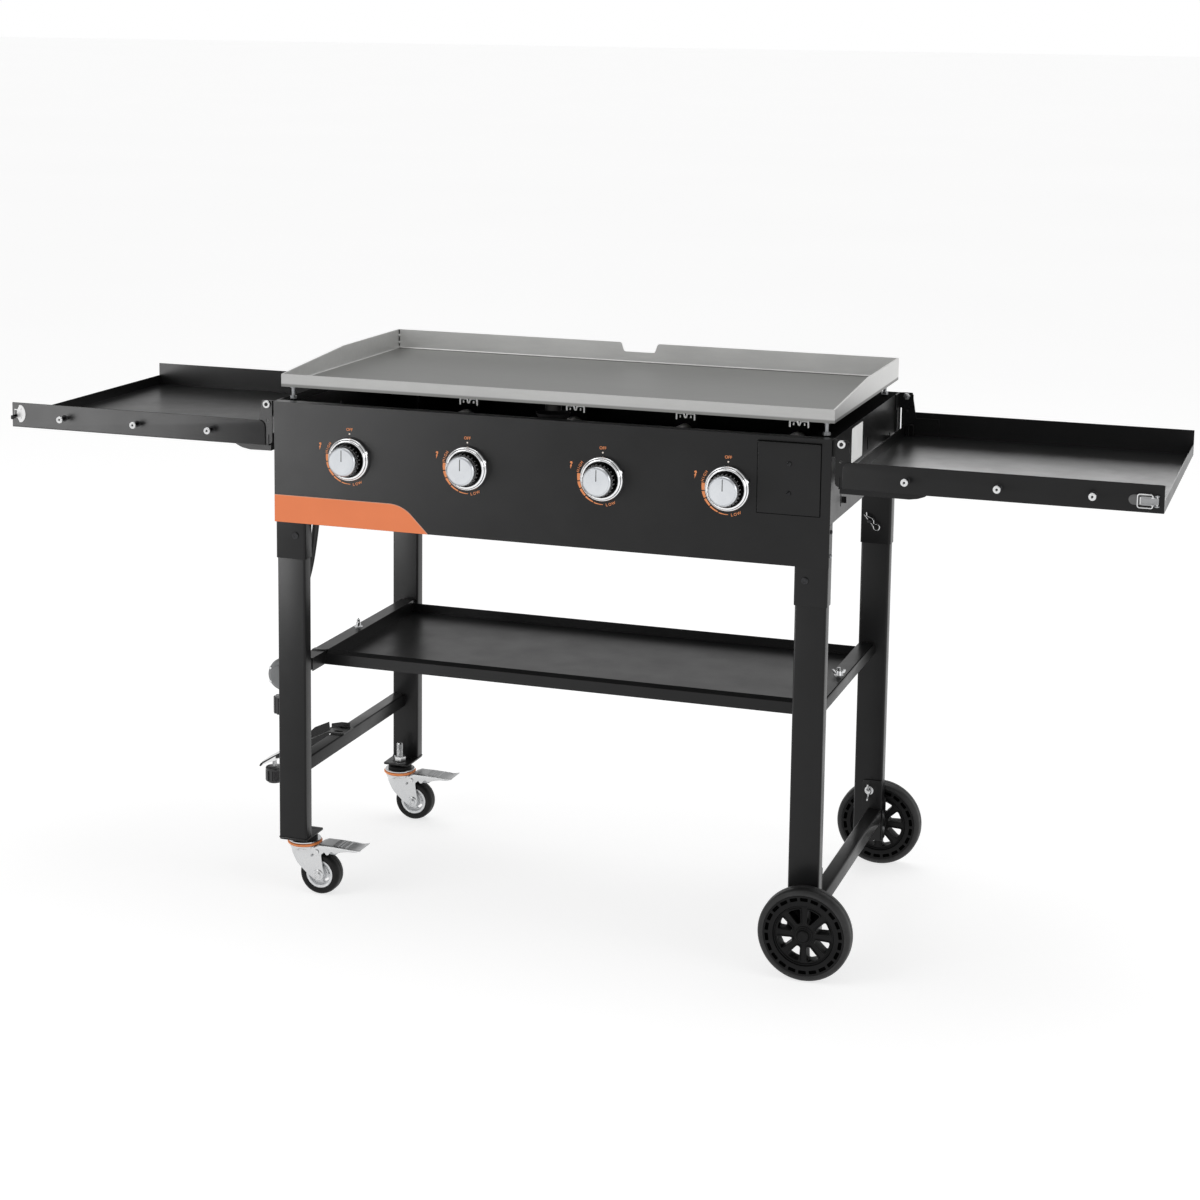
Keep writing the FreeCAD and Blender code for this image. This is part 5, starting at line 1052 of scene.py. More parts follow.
def fork(name, cx, cy, body, node):
    """Pressed fork: a round top that draws down into two cheeks joined by a curved back."""
    # lower edge of the sheet, from the back's middle round to the tip of a cheek: (distance x from the swivel axis, height)
    low = smooth_line([(-24.5, 71.0), (-20.0, 66.5), (-14.0, 60.0), (-6.0, 51.5), (3.0, 43.0), (12.0, 35.5), (20.0, 30.0), (25.0, 27.2), (31.0, 26.2), (36.5, 27.6), (40.2, 31.5), (41.2, 36.0)], 6)
    top = smooth_line([(-24.5, 82.0), (-10, 82.0), (10, 82.0), (24, 81.6), (31.0, 78.6), (35.5, 73.5), (37.2, 66.0), (38.2, 56.0), (40.0, 46.0), (41.2, 40.0)], 6)

    def half(z):
        # half width of the two cheeks at a height
        t = max(0.0, min(1.0, (82.0 - z) / 13.0))
        return 16.5 + 8.6 * (1 - t) ** 2.2

    def back(z):
        t = max(0.0, min(1.0, (82.0 - z) / 22.0))
        return -25.2 + 5.0 * t ** 1.3

    cols = 40
    wrap = 14
    verts, faces = [], []
    rows = 22
    total = 0
    grid = []
    for side in (1, -1):
        for c in range(cols + wrap):
            col = []
            if c < cols:      # along a cheek, from the tip towards the back
                x = 41.2 + (-6.0 - 41.2) * c / (cols - 1)
                zt, zl = interp(top, x), interp(low, x)
                for r in range(rows):
                    z = zt + (zl - zt) * r / (rows - 1)
                    hw = half(z)
                    # the top draws in to a circle, so a cheek's upper rows lie on it
                    f = max(0.0, min(1.0, (z - 70.0) / 12.0))
                    circ = math.sqrt(max(0.0, 25.6 ** 2 - min(x, 25.0) ** 2)) if x > 0 else 25.6
                    yy = min(hw, max(16.5, circ)) if x > 0 else hw
                    if x <= 0:
                        R = 25.6
                        yy = hw * (1 - f * f) + f * f * math.sqrt(max(1.0, R * R - x * x)) if hw > 16.6 else hw
                    col.append((cx + x, cy + side * yy, z))
            else:             # round the back to its middle
                t = (c - cols + 1) / wrap
                ang = math.radians(90 * t)
                for r in range(rows):
                    x0 = -6.0
                    zt0 = 82.0
                    # the lower edge climbs towards the middle of the back
                    bx = x0 + (back(75) - x0) * math.sin(ang)
                    zl0 = interp(low, min(bx, -6.0)) if t > 0 else interp(low, -6.0)
                    z = zt0 + (zl0 - zt0) * r / (rows - 1)
                    hw = half(z)
                    f = max(0.0, min(1.0, (z - 70.0) / 12.0))
                    bz = back(z)
                    ex = x0 + (bz - x0) * math.sin(ang)
                    ey = hw * math.cos(ang)
                    # circle near the top
                    qa = math.atan2(math.sqrt(max(1.0, 25.6 ** 2 - x0 * x0)), x0)
                    qt = qa + (math.pi - qa) * t
                    px, py = 25.6 * math.cos(qt), 25.6 * math.sin(qt)
                    g = f * f
                    col.append((cx + ex * (1 - g) + px * g, cy + side * (ey * (1 - g) + py * g), z))
            grid.append(col)
    width = cols + wrap
    for col in grid:
        verts += col
    for side in (0, 1):
        for c in range(width - 1):
            for r in range(rows - 1):
                a = (side * width + c) * rows + r
                b = a + rows
                faces.append((a, a + 1, b + 1, b))
    shell = from_data("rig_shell", verts, faces, M["fork"], body, sharp=60)
    s = shell.modifiers.new("sheet", "SOLIDIFY")
    s.thickness = 0.0018
    s.offset = -1
    s.use_even_offset = True
    b = shell.modifiers.new("edge", "BEVEL")
    b.width = 0.0005
    b.segments = 2
    b.limit_method = "ANGLE"
    b.angle_limit = math.radians(50)
    parts = [shell]
    cap = [(5.06, 82.6), (5.06, 84.0), (22.0, 84.0), (24.6, 83.6), (25.8, 82.6), (26.0, 81.4), (25.6, 80.4), (24.4, 80.2), (23.4, 81.6), (21.6, 82.6)]
    parts.append(lathe("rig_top", cap, (cx, cy, 0), Z, M["fork"], body, segs=72, ring=True, sharp=50))
    hub = cx + 31.0
    for g in (-1, 1):
        # axle boss with a raised ring and the rivet's head
        boss = [(0, 15.2), (9.4, 15.2), (9.4, 17.4), (8.6, 18.2), (7.2, 18.5), (6.5, 18.3), (6.1, 17.9), (5.0, 17.9), (4.8, 19.6), (4.0, 20.3), (2.4, 20.5), (2.0, 19.9), (0, 19.7)]
        parts.append(lathe("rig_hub", boss, (hub, cy, 35.0), Y * g, M["fork"], body, segs=48, sharp=50))
        rivet = [(0, 16.0), (2.5, 16.0), (2.5, 20.4), (4.0, 20.4), (4.0, 21.0), (3.2, 21.5), (1.6, 21.6), (1.3, 21.2), (0, 21.1)]
        parts.append(lathe("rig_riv", rivet, (cx + 30.0, cy, 76.0), Y * g, M["zinc"], body, segs=32, sharp=50))
        parts.append(lathe("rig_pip", [(0, 16.4), (2.0, 16.4), (2.0, 18.35), (1.3, 18.6), (0, 18.5)], (cx + 20.5, cy, 68.0), Y * g, M["dull_zinc"], body, segs=24))
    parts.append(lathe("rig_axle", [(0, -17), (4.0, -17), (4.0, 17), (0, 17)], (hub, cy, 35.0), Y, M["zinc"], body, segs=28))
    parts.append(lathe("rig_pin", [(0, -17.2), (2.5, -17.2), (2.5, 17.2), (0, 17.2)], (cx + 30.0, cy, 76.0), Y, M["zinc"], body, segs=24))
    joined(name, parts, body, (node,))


def trapezoid(u, v, r0, r1, mid, spread0, spread1, corner, n=4):
    pts = []
    for r, da in ((r0, -spread0), (r1, -spread1), (r1, spread1), (r0, spread0)):
        pts.append((u + r * math.cos(mid + da), v + r * math.sin(mid + da)))
    # the outer side follows the circle
    a, b = pts[1], pts[2]
    arc = [(u + r1 * math.cos(mid + spread1 * k), v + r1 * math.sin(mid + spread1 * k)) for k in (-0.5, 0.0, 0.5)]
    return rounded([pts[0], a] + arc + [b, pts[3]], [corner, corner, 0, 0, 0, corner, corner], n)


def casters():
    for name, sy in (("front", -1), ("rear", 1)):
        cx, cy = -431.6, sy * 199.0
        hub = cx + 31.0
        fork("caster_fork_%s_pressed" % name, cx, cy, "fork_" + name, "caster_fork_" + name)
        # rim: dished both sides, with a hub, a web with slots and a bead
        body = "caster_" + name
        parts = []
        bead = [(19.6, 10.6), (20.6, 11.4), (22.6, 11.6), (24.0, 11.0), (24.0, -11.0), (22.6, -11.6), (20.6, -11.4), (19.6, -10.6), (18.9, -4.0), (18.9, 4.0)]
        parts.append(lathe("rb", bead, (hub, cy, 35.0), Y, M["rim"], body, segs=80, ring=True, sharp=45))
        loops = [circle(hub, 35.0, 19.6, 80), circle(hub, 35.0, 4.05, 28)]
        for k in range(5):
            m = math.radians(72 * k + 20)
            loops.append(rounded([(hub + r * math.cos(m + d), 35.0 + r * math.sin(m + d)) for r, d in
                                  ((12.6, -0.36), (16.6, -0.42), (17.0, -0.2), (17.1, 0), (17.0, 0.2), (16.6, 0.42), (12.6, 0.36), (12.9, 0.0))], 1.2, 3))
        parts.append(plate("rw", loops, -cy - 3.6, -cy + 3.6, "xz", M["rim"], body, bevel=0.7, res=3))
        for g in (-1, 1):
            parts.append(lathe("rh", [(4.05, 2.0), (4.05, 15.0), (7.6, 15.0), (8.6, 14.2), (9.2, 9.0), (10.6, 4.4), (12.2, 3.4), (12.2, 2.0)], (hub, cy, 35.0), Y * g, M["rim"], body, segs=48, ring=True, sharp=50))
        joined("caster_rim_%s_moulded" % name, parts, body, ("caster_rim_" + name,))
        tyre = [(24.0, -12.0), (27.5, -12.9), (30.5, -12.9), (32.6, -12.0), (34.2, -9.6), (35.0, -5.6), (35.0, -0.9), (34.3, -0.5), (34.3, 0.5), (35.0, 0.9), (35.0, 5.6),
                (34.2, 9.6), (32.6, 12.0), (30.5, 12.9), (27.5, 12.9), (24.0, 12.0)]
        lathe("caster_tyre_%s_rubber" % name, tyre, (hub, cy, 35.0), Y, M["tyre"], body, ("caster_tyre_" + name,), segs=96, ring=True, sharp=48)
        # stem: stud, nut, spacer, race disc and the orange seal ring
        parts = []
        parts.append(lathe("sa", [(0, 104)] + [(6.0, 104), (6.0, 113.5)] + threads(6.0, 113.5, 136.4, 1.75, 0.7) + [(4.4, 138), (0, 138)], (cx, cy, 0), Z, M["zinc"], "station", segs=32))
        parts.append(hex_nut("sn", (cx, cy, 104), Z, 19.0, 9.0, M["zinc"], "station", 5.6))
        # the spacer and race disc take the coat with painted shade
        parts.append(lathe("sw", [(5.8, 91), (11.0, 91), (11.0, 101), (5.8, 101)], (cx, cy, 0), Z, M["coat_in"], "station", segs=40, ring=True))
        parts.append(lathe("sb", [(6.0, 97.6), (18.5, 97.6), (20.5, 96.4), (21.2, 94.6), (21.2, 91.0), (6.0, 91.0)], (cx, cy, 0), Z, M["coat_in"], "station", segs=56, ring=True))
        parts.append(lathe("sr", [(5.0, 88.2), (26.4, 88.2), (27.0, 88.8), (27.0, 90.4), (26.2, 91.2), (5.0, 91.2)], (cx, cy, 0), Z, M["fork"], "station", segs=72, ring=True))
        parts.append(lathe("ss", [(22.0, 84.4), (28.0, 84.4), (28.8, 85.0), (29.0, 86.2), (28.8, 87.4), (28.0, 88.0), (22.0, 88.0)], (cx, cy, 0), Z, M["seal"], "station", segs=72, ring=True, sharp=50))
        parts.append(lathe("sc", [(0, 76.8), (8.0, 76.8), (9.0, 77.6), (9.0, 79.2), (5.0, 79.4), (5.0, 89.0), (0, 89.0)], (cx, cy, 0), Z, M["zinc"], "station", segs=32))
        stem_parts.extend(parts)
        pedal(name, cx, cy)
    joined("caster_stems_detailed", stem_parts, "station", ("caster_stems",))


def pedal(name, cx, cy):
    """Ribbed tread plate with a flared, upturned end, between two cheeks, and the brake shoe under it."""
    body = "pedal_" + name
    stations = [(30.0, 86.6, 14.0), (34.0, 87.6, 16.5), (40, 88.2, 18.6), (58.0, 88.2, 18.8), (72.0, 87.6, 18.9), (84.0, 86.4, 19.2), (94.0, 85.6, 19.5), (101.0, 86.2, 19.8), (106.0, 87.6, 19.8), (109.0, 89.0, 19.0)]
    verts, faces = [], []
    n = 96
    nv = 14
    pts = smooth_line([(a, b, c) for a, b, c in stations], 12)
    n = len(pts)
    for x, z, hw in pts:
        for k in range(nv + 1):
            v = -1 + 2 * k / nv
            zz = z
            # raised ribs across the plate
            for rx in (61, 66.5, 72, 81):
                d = abs(x - rx)
                if d < 1.7 and abs(v) < 0.88:
                    zz += 1.9 * (0.5 + 0.5 * math.cos(math.pi * d / 1.7)) - 0.9
            if abs(v) > 0.93:
                zz -= 0.6
            verts.append((cx + x, cy + hw * v, min(zz, 89.4)))
    for i in range(n - 1):
        for k in range(nv):
            a = i * (nv + 1) + k
            faces.append((a, a + nv + 1, a + nv + 2, a + 1))
    top = from_data("pd_top", verts, faces, M["pedal"], body, sharp=70)
    s = top.modifiers.new("sheet", "SOLIDIFY")
    s.thickness = 0.0016
    s.offset = -1
    parts = [top]
    outline = smooth_line([(24, 74), (25.5, 70.8), (29.5, 69.4), (35, 70.2), (41, 74.0), (44, 76.4), (47.5, 72.6), (51.5, 73.2), (54.0, 77.0), (58, 78.8), (61.5, 76.6), (66, 77.4), (76, 80.4), (88, 82.4), (98, 82.8), (104, 84.4), (107.5, 87.4)], 4)
    cheek = [(cx + a, z) for a, z in outline] + [(cx + 99, 86.0), (cx + 84, 86.8), (cx + 60, 87.6), (cx + 36, 87.6), (cx + 27, 84.0)]
    for g in (-1, 1):
        w = sorted((-(cy + g * 18.2), -(cy + g * 19.8)))
        parts.append(plate("pd_ck", [cheek, circle(cx + 30, 76.0, 2.56, 20)], w[0], w[1], "xz", M["fork"], body, bevel=0.45, res=2, sharp=55))
    shoe = rounded([(cx + 46, 71.3), (cx + 62, 71.3), (cx + 62, 87), (cx + 46, 87)], [2, 2, 0.5, 0.5], 4)
    parts.append(plate("pd_sh", [shoe], -(cy + 11), -(cy - 11), "xz", M["dull_zinc"], body, bevel=0.6, res=2))
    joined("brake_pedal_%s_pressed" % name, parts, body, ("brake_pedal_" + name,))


stem_parts = []
casters()

# ---------------------------------------------------------------- big wheels
def big_wheel(name, sy):
    body = name + "_wheel"
    cx, cz = 443.0, 73.0
    y0, y1 = (-287.0, -257.0) if sy < 0 else (257.0, 287.0)
    ym = (y0 + y1) / 2
    parts = []
    tread = [(51.5, 12.0), (60.8, 12.0), (62.4, 12.6), (64.4, 14.3), (66.2, 14.95), (68.2, 14.7), (70.0, 13.7), (71.5, 12.0), (72.5, 9.6), (73.0, 6.4), (73.0, 1.6), (72.5, 1.1), (72.5, 0)]
    prof = tread + [(r, -h) for r, h in tread[-2::-1]]
    parts.append(lathe("wt", prof, (cx, ym, cz), Y, M["tread"], body, segs=144, ring=True, sharp=46))
    count = 22
    for g in (-1, 1):
        w_face = -(ym + g * 14.0)
        w_back = -(ym + g * 11.9)
        loops = [circle(cx, cz, 63.4, 144), circle(cx, cz, 48.6, 120)]
        for k in range(count):
            m = 2 * math.pi * (k + 0.5) / count
            loops.append(rounded([(cx + r * math.cos(m + d), cz + r * math.sin(m + d)) for r, d in ((55.2, -0.104), (60.6, -0.100), (60.6, 0.100), (55.2, 0.104))], 0.9, 3))
        parts.append(plate("wr", loops, *sorted((w_face, w_back)), "xz", M["wheel"], body, bevel=0.4, res=3, sharp=60))
        # painted shade: a near-black ring behind the slots, for the shade inside them
        parts.append(lathe("wg", [(54.0, 6.6), (62.0, 6.6), (62.0, 12.35), (54.0, 12.35)], (cx, ym, cz), Y * g, M["recess"], body, segs=96, ring=True))
        # stepped inner rim wall
        parts.append(lathe("wl", [(45.0, 3.0), (45.0, 10.4), (45.6, 11.2), (46.6, 11.3), (47.2, 10.6), (47.4, 12.6), (48.0, 13.7), (49.2, 14.0), (50.2, 13.4), (50.2, 3.0)],
                           (cx, ym, cz), Y * g, M["wheel"], body, segs=144, ring=True, sharp=60))
        # hub and its collar
        hubp = [(5.05, 2.0), (5.05, 12.8), (9.4, 12.8), (10.0, 13.3), (11.2, 13.3), (11.8, 12.6), (12.0, 11.6), (13.2, 11.3), (14.0, 10.8), (14.5, 9.8), (14.6, 2.0)]
        parts.append(lathe("wh", hubp, (cx, ym, cz), Y * g, M["wheel"], body, segs=72, ring=True, sharp=50))
    holes = [trapezoid(cx, cz, 19.5, 41.5, math.radians(k * 45 + 22.5), 0.130, 0.245, 3.0) for k in range(8)]
    parts.append(plate("ww", [circle(cx, cz, 46.4, 120), circle(cx, cz, 5.05, 28)] + holes, -(ym + 9.6), -(ym - 9.6), "xz", M["wheel"], body, bevel=1.0, res=3, sharp=60))
    # raised walls round the windows
    for k in range(8):
        m = math.radians(k * 45 + 22.5)
        outer = trapezoid(cx, cz, 17.6, 43.6, m, 0.215, 0.293, 4.0)
        inner = trapezoid(cx, cz, 19.5, 41.5, m, 0.130, 0.245, 3.0)
        parts.append(plate("wv", [outer, inner], -(ym + 11.4), -(ym - 11.4), "xz", M["wheel"], body, bevel=0.9, res=3, sharp=60))
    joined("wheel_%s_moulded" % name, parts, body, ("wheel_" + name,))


big_wheel("front", -1)
big_wheel("rear", 1)


def axles():
    parts = []
    for sy in (-1, 1):
        d = Y * sy
        parts.append(lathe("ax", [(0, 240), (5, 240), (5, 286), (0, 286)], (443, 0, 73), d, M["zinc"], "station", segs=28))
        parts.append(lathe("aw", [(5, 249.1), (10, 249.1), (10, 256.4), (5, 256.4)], (443, 0, 73), d, M["dull_zinc"], "station", segs=40, ring=True))
        # domed plastic cap over the bolt's head
        parts.append(lathe("ac", [(0, 284.6), (8.8, 284.6), (9.3, 285.4), (9.0, 287.0), (7.4, 288.6), (5.6, 289.1), (4.6, 288.7), (0, 288.5)], (443, 0, 73), d, M["wheel"], "station", segs=48, sharp=50))
        parts.append(hex_nut("an", (443, sy * 240.0, 73), d, 16.6, 6.0, M["zinc"], "station", 5.0))
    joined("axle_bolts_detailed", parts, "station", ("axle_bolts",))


axles()

# ---------------------------------------------------------------- shelf fittings
def hooks():
    for side, g in (("right", 1), ("left", -1)):
        body = side + "_shelf"
        parts = []
        for x in (572.0, 708.0, 845.0):
            prof = [(0, 246.6), (5.4, 246.6), (5.4, 248.0), (4.8, 248.6), (3.0, 248.8), (3.0, 262.0), (0, 262.0)]
            parts.append(lathe("hk", prof, (g * x, 0, 780.5), -Y, M["black_zinc"], body, segs=44, sharp=40))
            parts += hex_screw("hh", (g * x, -262.0, 780.5), -Y, 5.8, 3.7, body, socket=0.52)
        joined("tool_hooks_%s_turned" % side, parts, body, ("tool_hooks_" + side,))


hooks()


def shade_parts():
    """Black plugs in the spare holes of the rear hinges, and near-black strips on the top flanges inside the griddle's
    ends, painted shade under the plate.
    """
    for g in (-1, 1):
        plugs = [lathe("pl", [(0, 0), (3.4, 0), (3.4, 0.5), (2.8, 0.9), (0, 1.0)], (g * 472.5, y, 801.5), Y * d, M["coat"], "right_shelf" if g > 0 else "left_shelf", segs=28) for y, d in ((251.7, 1), (250.3, -1))]
        joined("hinge_plug_%s" % ("right" if g > 0 else "left"), plugs, "right_shelf" if g > 0 else "left_shelf")
        # painted shade: a near-black strip on the top flange under the griddle's end
        x = sorted((g * 426.3, g * 458.6))
        block("flange_painted_shade", x[0], x[1], -228.4, 247.4, 834.02, 834.16, M["recess"], "station", bevel=0.02)


shade_parts()
# painted shade: a near-black outline round the fitted plate, for the shade in its gap
plate("fitted_plate_gap", [rrect(345.0, 444.0, 715.0, 827.0, 1.4), rrect(345.9, 443.1, 715.9, 826.1, 1.0)], 249.0, 249.5, "xz", M["recess"], "station", bevel=0.02, res=0)


def shelf_sheets():
    """The hemmed front plates of both shelves, the corner ties at their inner back corners, and the bottom shelf's folds."""
    for side, g in (("right", 1), ("left", -1)):
        body = side + "_shelf"
        outline = rounded([(475.8, 761.0), (944.6, 761.0), (944.6, 801.6), (475.8, 801.6)], [1.2, 1.2, 1.2, 11.0], 8)
        outline = [(g * u, v) for u, v in outline]
        parts = [plate("sp", [outline], 247.0, 247.9, "xz", M["coat"], body, bevel=0.4, res=2)]
        outer = [(g * u, v) for u, v in rrect(476.5, 487.0, 758.0, 781.0, 2.4, 4)]
        inner = [(g * u, v) for u, v in rrect(479.0, 484.6, 760.5, 778.5, 1.2, 4)]
        parts.append(plate("st", [outer, inner], -244.0, -241.0, "xz", M["coat"], body, bevel=0.5, res=2))
        # painted shade: the darker coat inside the corner tie
        parts.append(plate("sv", [[(g * u, v) for u, v in rrect(478.0, 486.2, 761.5, 779.5, 1.2, 4)]], -249.6, -244.0, "xz", M["coat_in"], body, bevel=0.3))
        # painted shade: a near-black line along the edge of the hinge bracket at the back corner
        parts.append(plate("sd", [[(g * u, v) for u, v in rounded([(473.6, 762.5), (476.4, 762.5), (476.4, 794.0), (481.0, 802.5), (478.5, 803.5), (473.6, 795.0)], 0.6, 2)]], 243.8, 244.3, "xz", M["recess"], body, bevel=0.05, res=0))
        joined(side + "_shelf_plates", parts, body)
    parts = []
    for g in (-1, 1):
        x = sorted((g * 410.0, g * 434.0))
        parts.append(block("bf", x[0], x[1], -165.2, -153.0, 404.1, 405.4, M["coat"], "station", bevel=0.4))
        # painted shadow: a near-black strip along the ear's outer edge
        x = sorted((g * 434.0, g * 434.9))
        parts.append(block("bl", x[0], x[1], -212.0, 208.0, 402.9, 403.7, M["recess"], "station", bevel=0.1))
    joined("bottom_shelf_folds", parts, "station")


shelf_sheets()
LZ = 778.0


def latch():
    # base plate with a half-round end, folded ears and the hinge pin
    outline = [(937, LZ - 7.6), (937, LZ + 7.6)] + [(902 + 7.6 * math.cos(t), LZ + 7.6 * math.sin(t)) for t in [math.radians(a) for a in range(90, 271, 12)]]
    parts = [plate("lb", [outline], 247.0, 248.4, "xz", M["base_zinc"], "right_shelf", bevel=0.4)]
    for g in (-1, 1):
        ear = rounded([(931, -248.0), (938.5, -248.0), (938.5, -254.2), (931, -254.2)], [0.2, 0.2, 2.2, 2.2], 4)
        w = sorted((LZ + g * 6.8, LZ + g * 8.2))
        parts.append(plate("le", [ear], w[0], w[1], "xy", M["dull_zinc"], "right_shelf", bevel=0.3))
    parts.append(lathe("lp", [(0, -8.8), (1.5, -8.8), (1.5, 8.8), (0, 8.8)], (935, -251.5, LZ), Z, M["zinc"], "right_shelf", segs=20))
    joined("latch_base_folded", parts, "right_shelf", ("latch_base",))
    # lever: dished plate with a rolled end, and two lugs for the bail
    parts = [plate("ll", [rounded([(911.5, LZ - 6.6), (930, LZ - 6.6), (934, LZ - 4.8), (934, LZ + 4.8), (930, LZ + 6.6), (911.5, LZ + 6.6)], [2.4, 1.5, 1, 1, 1.5, 2.4], 5)], 252.7, 254.1, "xz", M["lever_zinc"], "lever", bevel=0.5, res=3)]
    parts.append(plate("lq", [rrect(913.6, 926, LZ - 4.6, LZ + 4.6, 2.0, 5), rrect(914.4, 925.2, LZ - 3.8, LZ + 3.8, 1.4, 5)], 254.0, 254.35, "xz", M["lever_zinc"], "lever", bevel=0.28, res=2))
    parts.append(wire("lo", [Vector((911.4, -253.6, LZ + v)) for v in (-5.5, -3, 0, 3, 5.5)], 0.9, M["zinc"], "lever", res=4))
    parts.append(lathe("lk", [(1.56, -4.8), (2.6, -4.8), (2.6, 4.8), (1.56, 4.8)], (935, -251.5, LZ), Z, M["lever_zinc"], "lever", segs=28, ring=True))
    for a in (-6.2, 4.9):
        lug = rounded([(926.2, -253.6), (931.8, -253.6), (931.4, -257.0), (926.6, -257.0)], [0.2, 0.2, 1.6, 1.6], 4)
        parts.append(plate("lg", [lug], LZ + a, LZ + a + 1.3, "xy", M["zinc"], "lever", bevel=0.3))
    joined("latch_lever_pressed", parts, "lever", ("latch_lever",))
    # bail: one bent wire with its two ends turned into the lugs
    pts = [(929, -255.5, LZ - 4.6), (929, -255.5, LZ - 9.7), (907.6, -255.5, LZ - 9.7), (907.6, -255.5, LZ + 9.7), (929, -255.5, LZ + 9.7), (929, -255.5, LZ + 4.6)]
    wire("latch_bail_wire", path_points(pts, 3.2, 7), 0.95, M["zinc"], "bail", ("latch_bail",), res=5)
    # keeper on the other shelf: a half oval, with its bent hook in a notch at the flat side. Near-black plates are
    # painted shade in the notch and a painted shadow outline round the keeper
    arc = [math.radians(a) for a in range(80, -81, -8)]
    neck = [(-934.6, LZ - 2.2), (-940.6, LZ - 2.6), (-940.6, LZ + 12.6), (-934.6, LZ + 12.2)]
    k = [(-931.0, LZ - 9.6)] + neck + [(-931.0, LZ + 19.6)] + [(-929.6 + 10.0 * math.cos(t), LZ + 5 + 14.9 * math.sin(t)) for t in arc]
    parts = [plate("kp", [k, rrect(-940.0, -935.6, LZ - 0.4, LZ + 10.4, 0.5)], 247.0, 248.4, "xz", M["bright_plate"], "left_shelf", bevel=0.4)]
    parts.append(plate("kd", [rrect(-940.2, -935.4, LZ - 0.6, LZ + 10.6, 0.5)], 247.0, 247.5, "xz", M["recess"], "left_shelf", bevel=0.05, res=0))
    parts.append(plate("ko", [[(-932.4, LZ - 10.6), (-935.6, LZ - 3.0), (-935.6, LZ + 13.0), (-932.4, LZ + 20.6)] + [(-929.6 + 10.7 * math.cos(t), LZ + 5 + 15.8 * math.sin(t)) for t in arc]],
                       247.0, 247.35, "xz", M["recess"], "left_shelf", bevel=0.05, res=0))
    hook = rounded([(-938.3, -247.2), (-938.3, -259.6), (-934.5, -259.6), (-934.5, -261.4), (-939.8, -261.4), (-939.8, -247.2)], [0.1, 0.3, 0.3, 0.5, 1.4, 0.1], 4)
    parts.append(plate("kh", [hook], LZ - 3.2, LZ + 3.2, "xy", M["black_zinc"], "left_shelf", bevel=0.35))
    for v in (-3.0, 13.0):
        parts.append(lathe("kr", [(0, 0), (1.5, 0), (1.4, 0.5), (0.9, 0.9), (0, 1.0)], (-927.6, -248.3, LZ + v), -Y, M["zinc"], "left_shelf", segs=20))
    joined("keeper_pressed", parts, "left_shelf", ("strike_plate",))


latch()

# ---------------------------------------------------------------- tank holder screw
def tank_screw():
    x, y = -572.0, -28.0
    lobes = []
    for k in range(10):
        t0 = 2 * math.pi * k / 10
        for j, r in ((0, 13.4), (0.10, 13.4), (0.18, 15.4), (0.26, 16.0), (0.72, 16.0), (0.80, 15.4), (0.88, 13.4)):
            t = t0 + j * 2 * math.pi / 10
            lobes.append((r * math.cos(t), r * math.sin(t)))
    parts = [plate_at("tk", [lobes], 121.5, 142.5, Matrix.Translation((x, y, 0)), M["dark_plastic"], "tank_screw", bevel=0.9, res=3)]
    parts.append(lathe("tr", [(0, 141.0), (15.6, 141.0), (16.0, 141.6), (16.0, 144.6), (15.2, 145.8), (11.5, 147.0), (0, 147.0)], (x, y, 0), Z, M["dark_plastic"], "tank_screw", segs=72))
    parts.append(lathe("tc", [(0, 118.0), (9.0, 118.0), (11.8, 118.6), (13.0, 120.4), (13.2, 122.6), (0, 122.6)], (x, y, 0), Z, M["dark_plastic"], "tank_screw", segs=56))
    parts.append(lathe("ts", [(0, 140)] + threads(4.0, 146, 158, 1.4, 0.55) + [(3.0, 158.8), (0, 159)], (x, y, 0), Z, M["zinc"], "tank_screw", segs=28))
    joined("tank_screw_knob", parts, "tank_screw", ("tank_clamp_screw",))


tank_screw()


def arm_end():
    """The bare zinc cover folded over the arm's outer end, and its dark tip."""
    a = [(-548.0, 182.0), (-560.4, 175.4), (-586.2, 159.4), (-591.6, 153.4), (-589.6, 151.6), (-584.8, 153.2), (-560.0, 164.0), (-548.0, 170.6)]
    parts = [plate("ae", [a], 8.4, 47.6, "xz", M["bright_plate"], "station", bevel=0.35)]
    tip = [(-588.4, 156.2), (-592.0, 151.4), (-590.4, 149.9), (-586.4, 155.0)]
    parts.append(plate("at", [tip], 8.0, 48.0, "xz", M["print_dark"], "station", bevel=0.3))
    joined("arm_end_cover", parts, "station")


arm_end()

# ---------------------------------------------------------------- blank plate on the right side panel
plate("blank_label", [rrect(-112, -35, 774, 829, 1.5)], 458.98, 459.14, "yz", M["label"], "station", bevel=0.03, res=0)

# ---------------------------------------------------------------- floor and light
def stage_plane():
    me = bpy.data.meshes.new("floor")
    s = 120.0
    me.from_pydata([(-s, -s, 0), (s, -s, 0), (s, s, 0), (-s, s, 0)], [], [(0, 1, 2, 3)])
    m, nt, b = new_mat("studio_floor")
    v = coords(nt)
    nt.links.new(ramp(nt, noise(nt, v, 0.35, 2.0), [(0.3, (0.46, 0.46, 0.46)), (0.7, (0.48, 0.48, 0.48))]), b.inputs["Base Color"])
    b.inputs["Roughness"].default_value = 0.9
    b.inputs["Specular IOR Level"].default_value = 0.1
    b.inputs["Emission Color"].default_value = (1, 1, 1, 1)
    b.inputs["Emission Strength"].default_value = 0.70
    me.materials.append(m)
    o = bpy.data.objects.new("floor", me)
    scene.collection.objects.link(o)


stage_plane()


def area(name, loc, target, size, power, size_y=None, color=(1, 1, 1)):
    l = bpy.data.lights.new(name, "AREA")
    l.energy = power
    l.color = color
    l.shape = "RECTANGLE" if size_y else "SQUARE"
    l.size = size
    if size_y:
        l.size_y = size_y
    o = bpy.data.objects.new(name, l)
    scene.collection.objects.link(o)
    o.location = loc
    o.rotation_euler = (Vector(target) - Vector(loc)).to_track_quat("-Z", "Y").to_euler()
    o.visible_camera = False
    return o


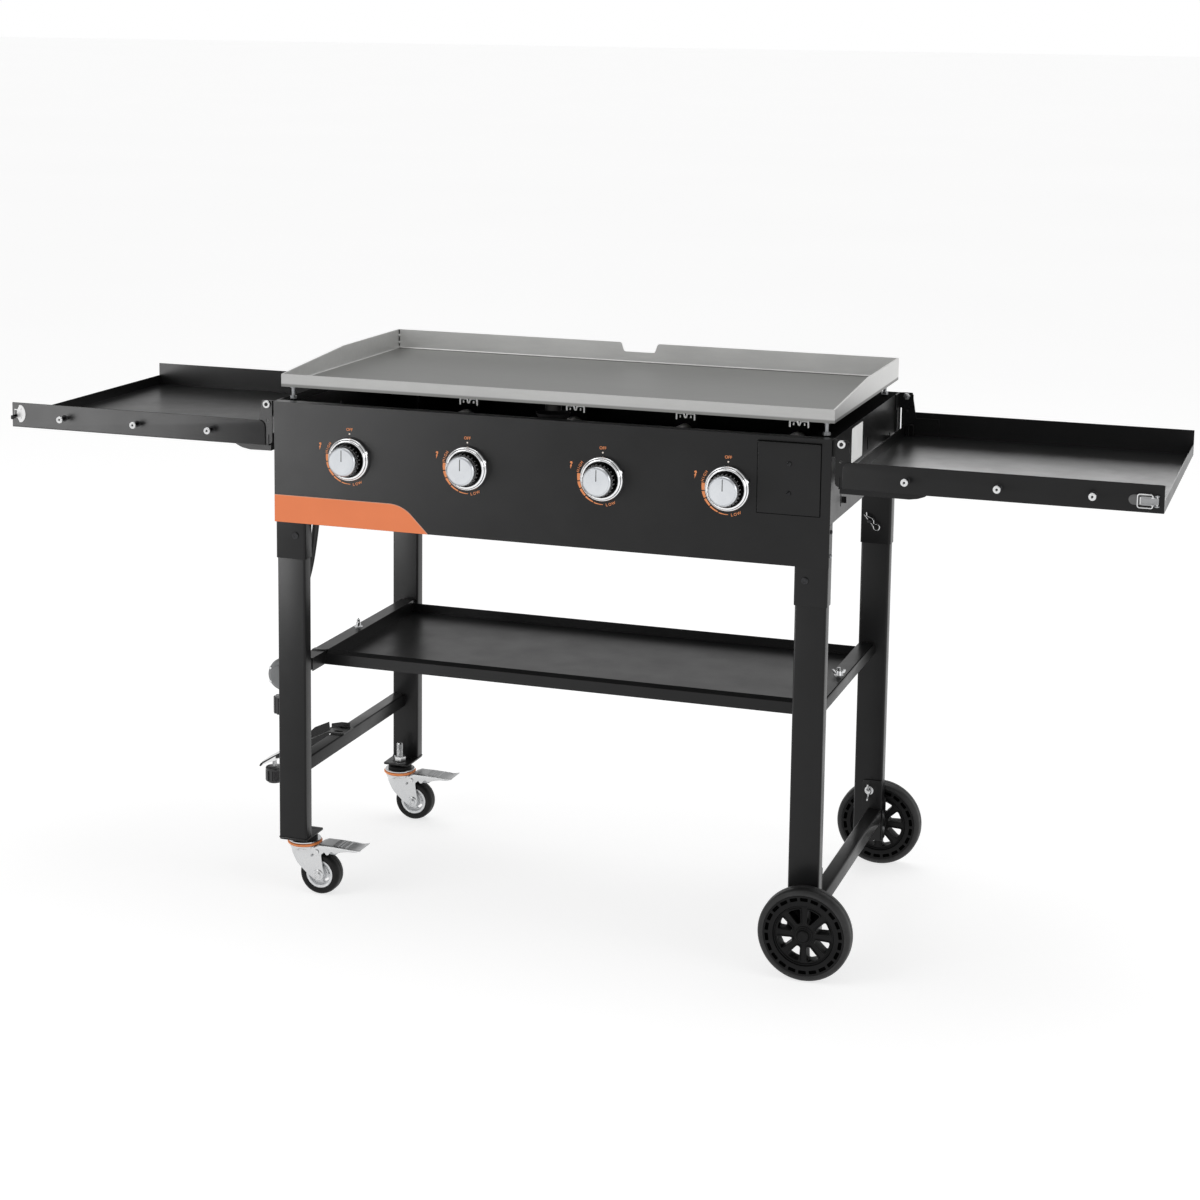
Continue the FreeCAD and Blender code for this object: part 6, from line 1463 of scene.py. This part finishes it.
def studio():
    """White near the horizon and greyer overhead, so that metal has something to reflect."""
    world = bpy.data.worlds.new("studio")
    scene.world = world
    world.use_nodes = True
    nt = world.node_tree
    bg = nt.nodes["Background"]
    c = add(nt, "ShaderNodeTexCoord")
    sep = add(nt, "ShaderNodeSeparateXYZ")
    nt.links.new(c.outputs["Generated"], sep.inputs[0])
    sky = ramp(nt, sep.outputs["Z"], [(0.0, (1.0, 1.0, 1.0)), (0.14, (1.0, 1.0, 1.0)), (0.21, (0.78, 0.78, 0.78)), (0.36, (0.62, 0.62, 0.62)), (0.62, (0.40, 0.40, 0.40)), (1.0, (0.52, 0.52, 0.52))])
    nt.links.new(sky, bg.inputs["Color"])
    bg.inputs["Strength"].default_value = 1.0


studio()
area("key", (-2.6, -3.0, 3.4), (0, 0, 0.5), 2.2, 34)
area("top", (0.3, 0.9, 4.0), (0, 0, 0.7), 3.0, 45)
area("side", (3.8, -1.2, 1.8), (0, 0, 0.6), 1.6, 14)
# soft boxes that only the black sheet and tube see, as flags would keep them off the bright metal
dark = bpy.data.collections.new("dark_sheet")
for o in scene.objects:
    if o.type == "MESH" and o.data.materials and all(m in (M["coat"], M["recess"], M["coat_in"]) for m in o.data.materials):
        dark.objects.link(o)
area("left_low", (-2.15, -1.95, 0.62), (-0.7, -0.2, 0.62), 1.9, 56, 1.15).light_linking.receiver_collection = dark
tray = bpy.data.collections.new("right_tray")
for o in scene.objects:
    if o.type == "MESH" and o.name.split(".")[0] in ("side_shelf_right", "right_shelf_plates"):
        tray.objects.link(o)
area("back", (-0.03, 5.0, 1.85), (0.7, 0, 0.76), 3.4, 42, 1.9).light_linking.receiver_collection = tray
pale = bpy.data.collections.new("pale_plate")
for o in scene.objects:
    if o.type == "MESH" and o.data.materials and o.data.materials[0] in (M["label"], M["clip"]):
        pale.objects.link(o)
fill = area("plate_fill", (2.0, -2.6, 1.9), (0.2, 0, 0.8), 0.8, 85)
fill.light_linking.receiver_collection = pale
fill.light_linking.blocker_collection = pale
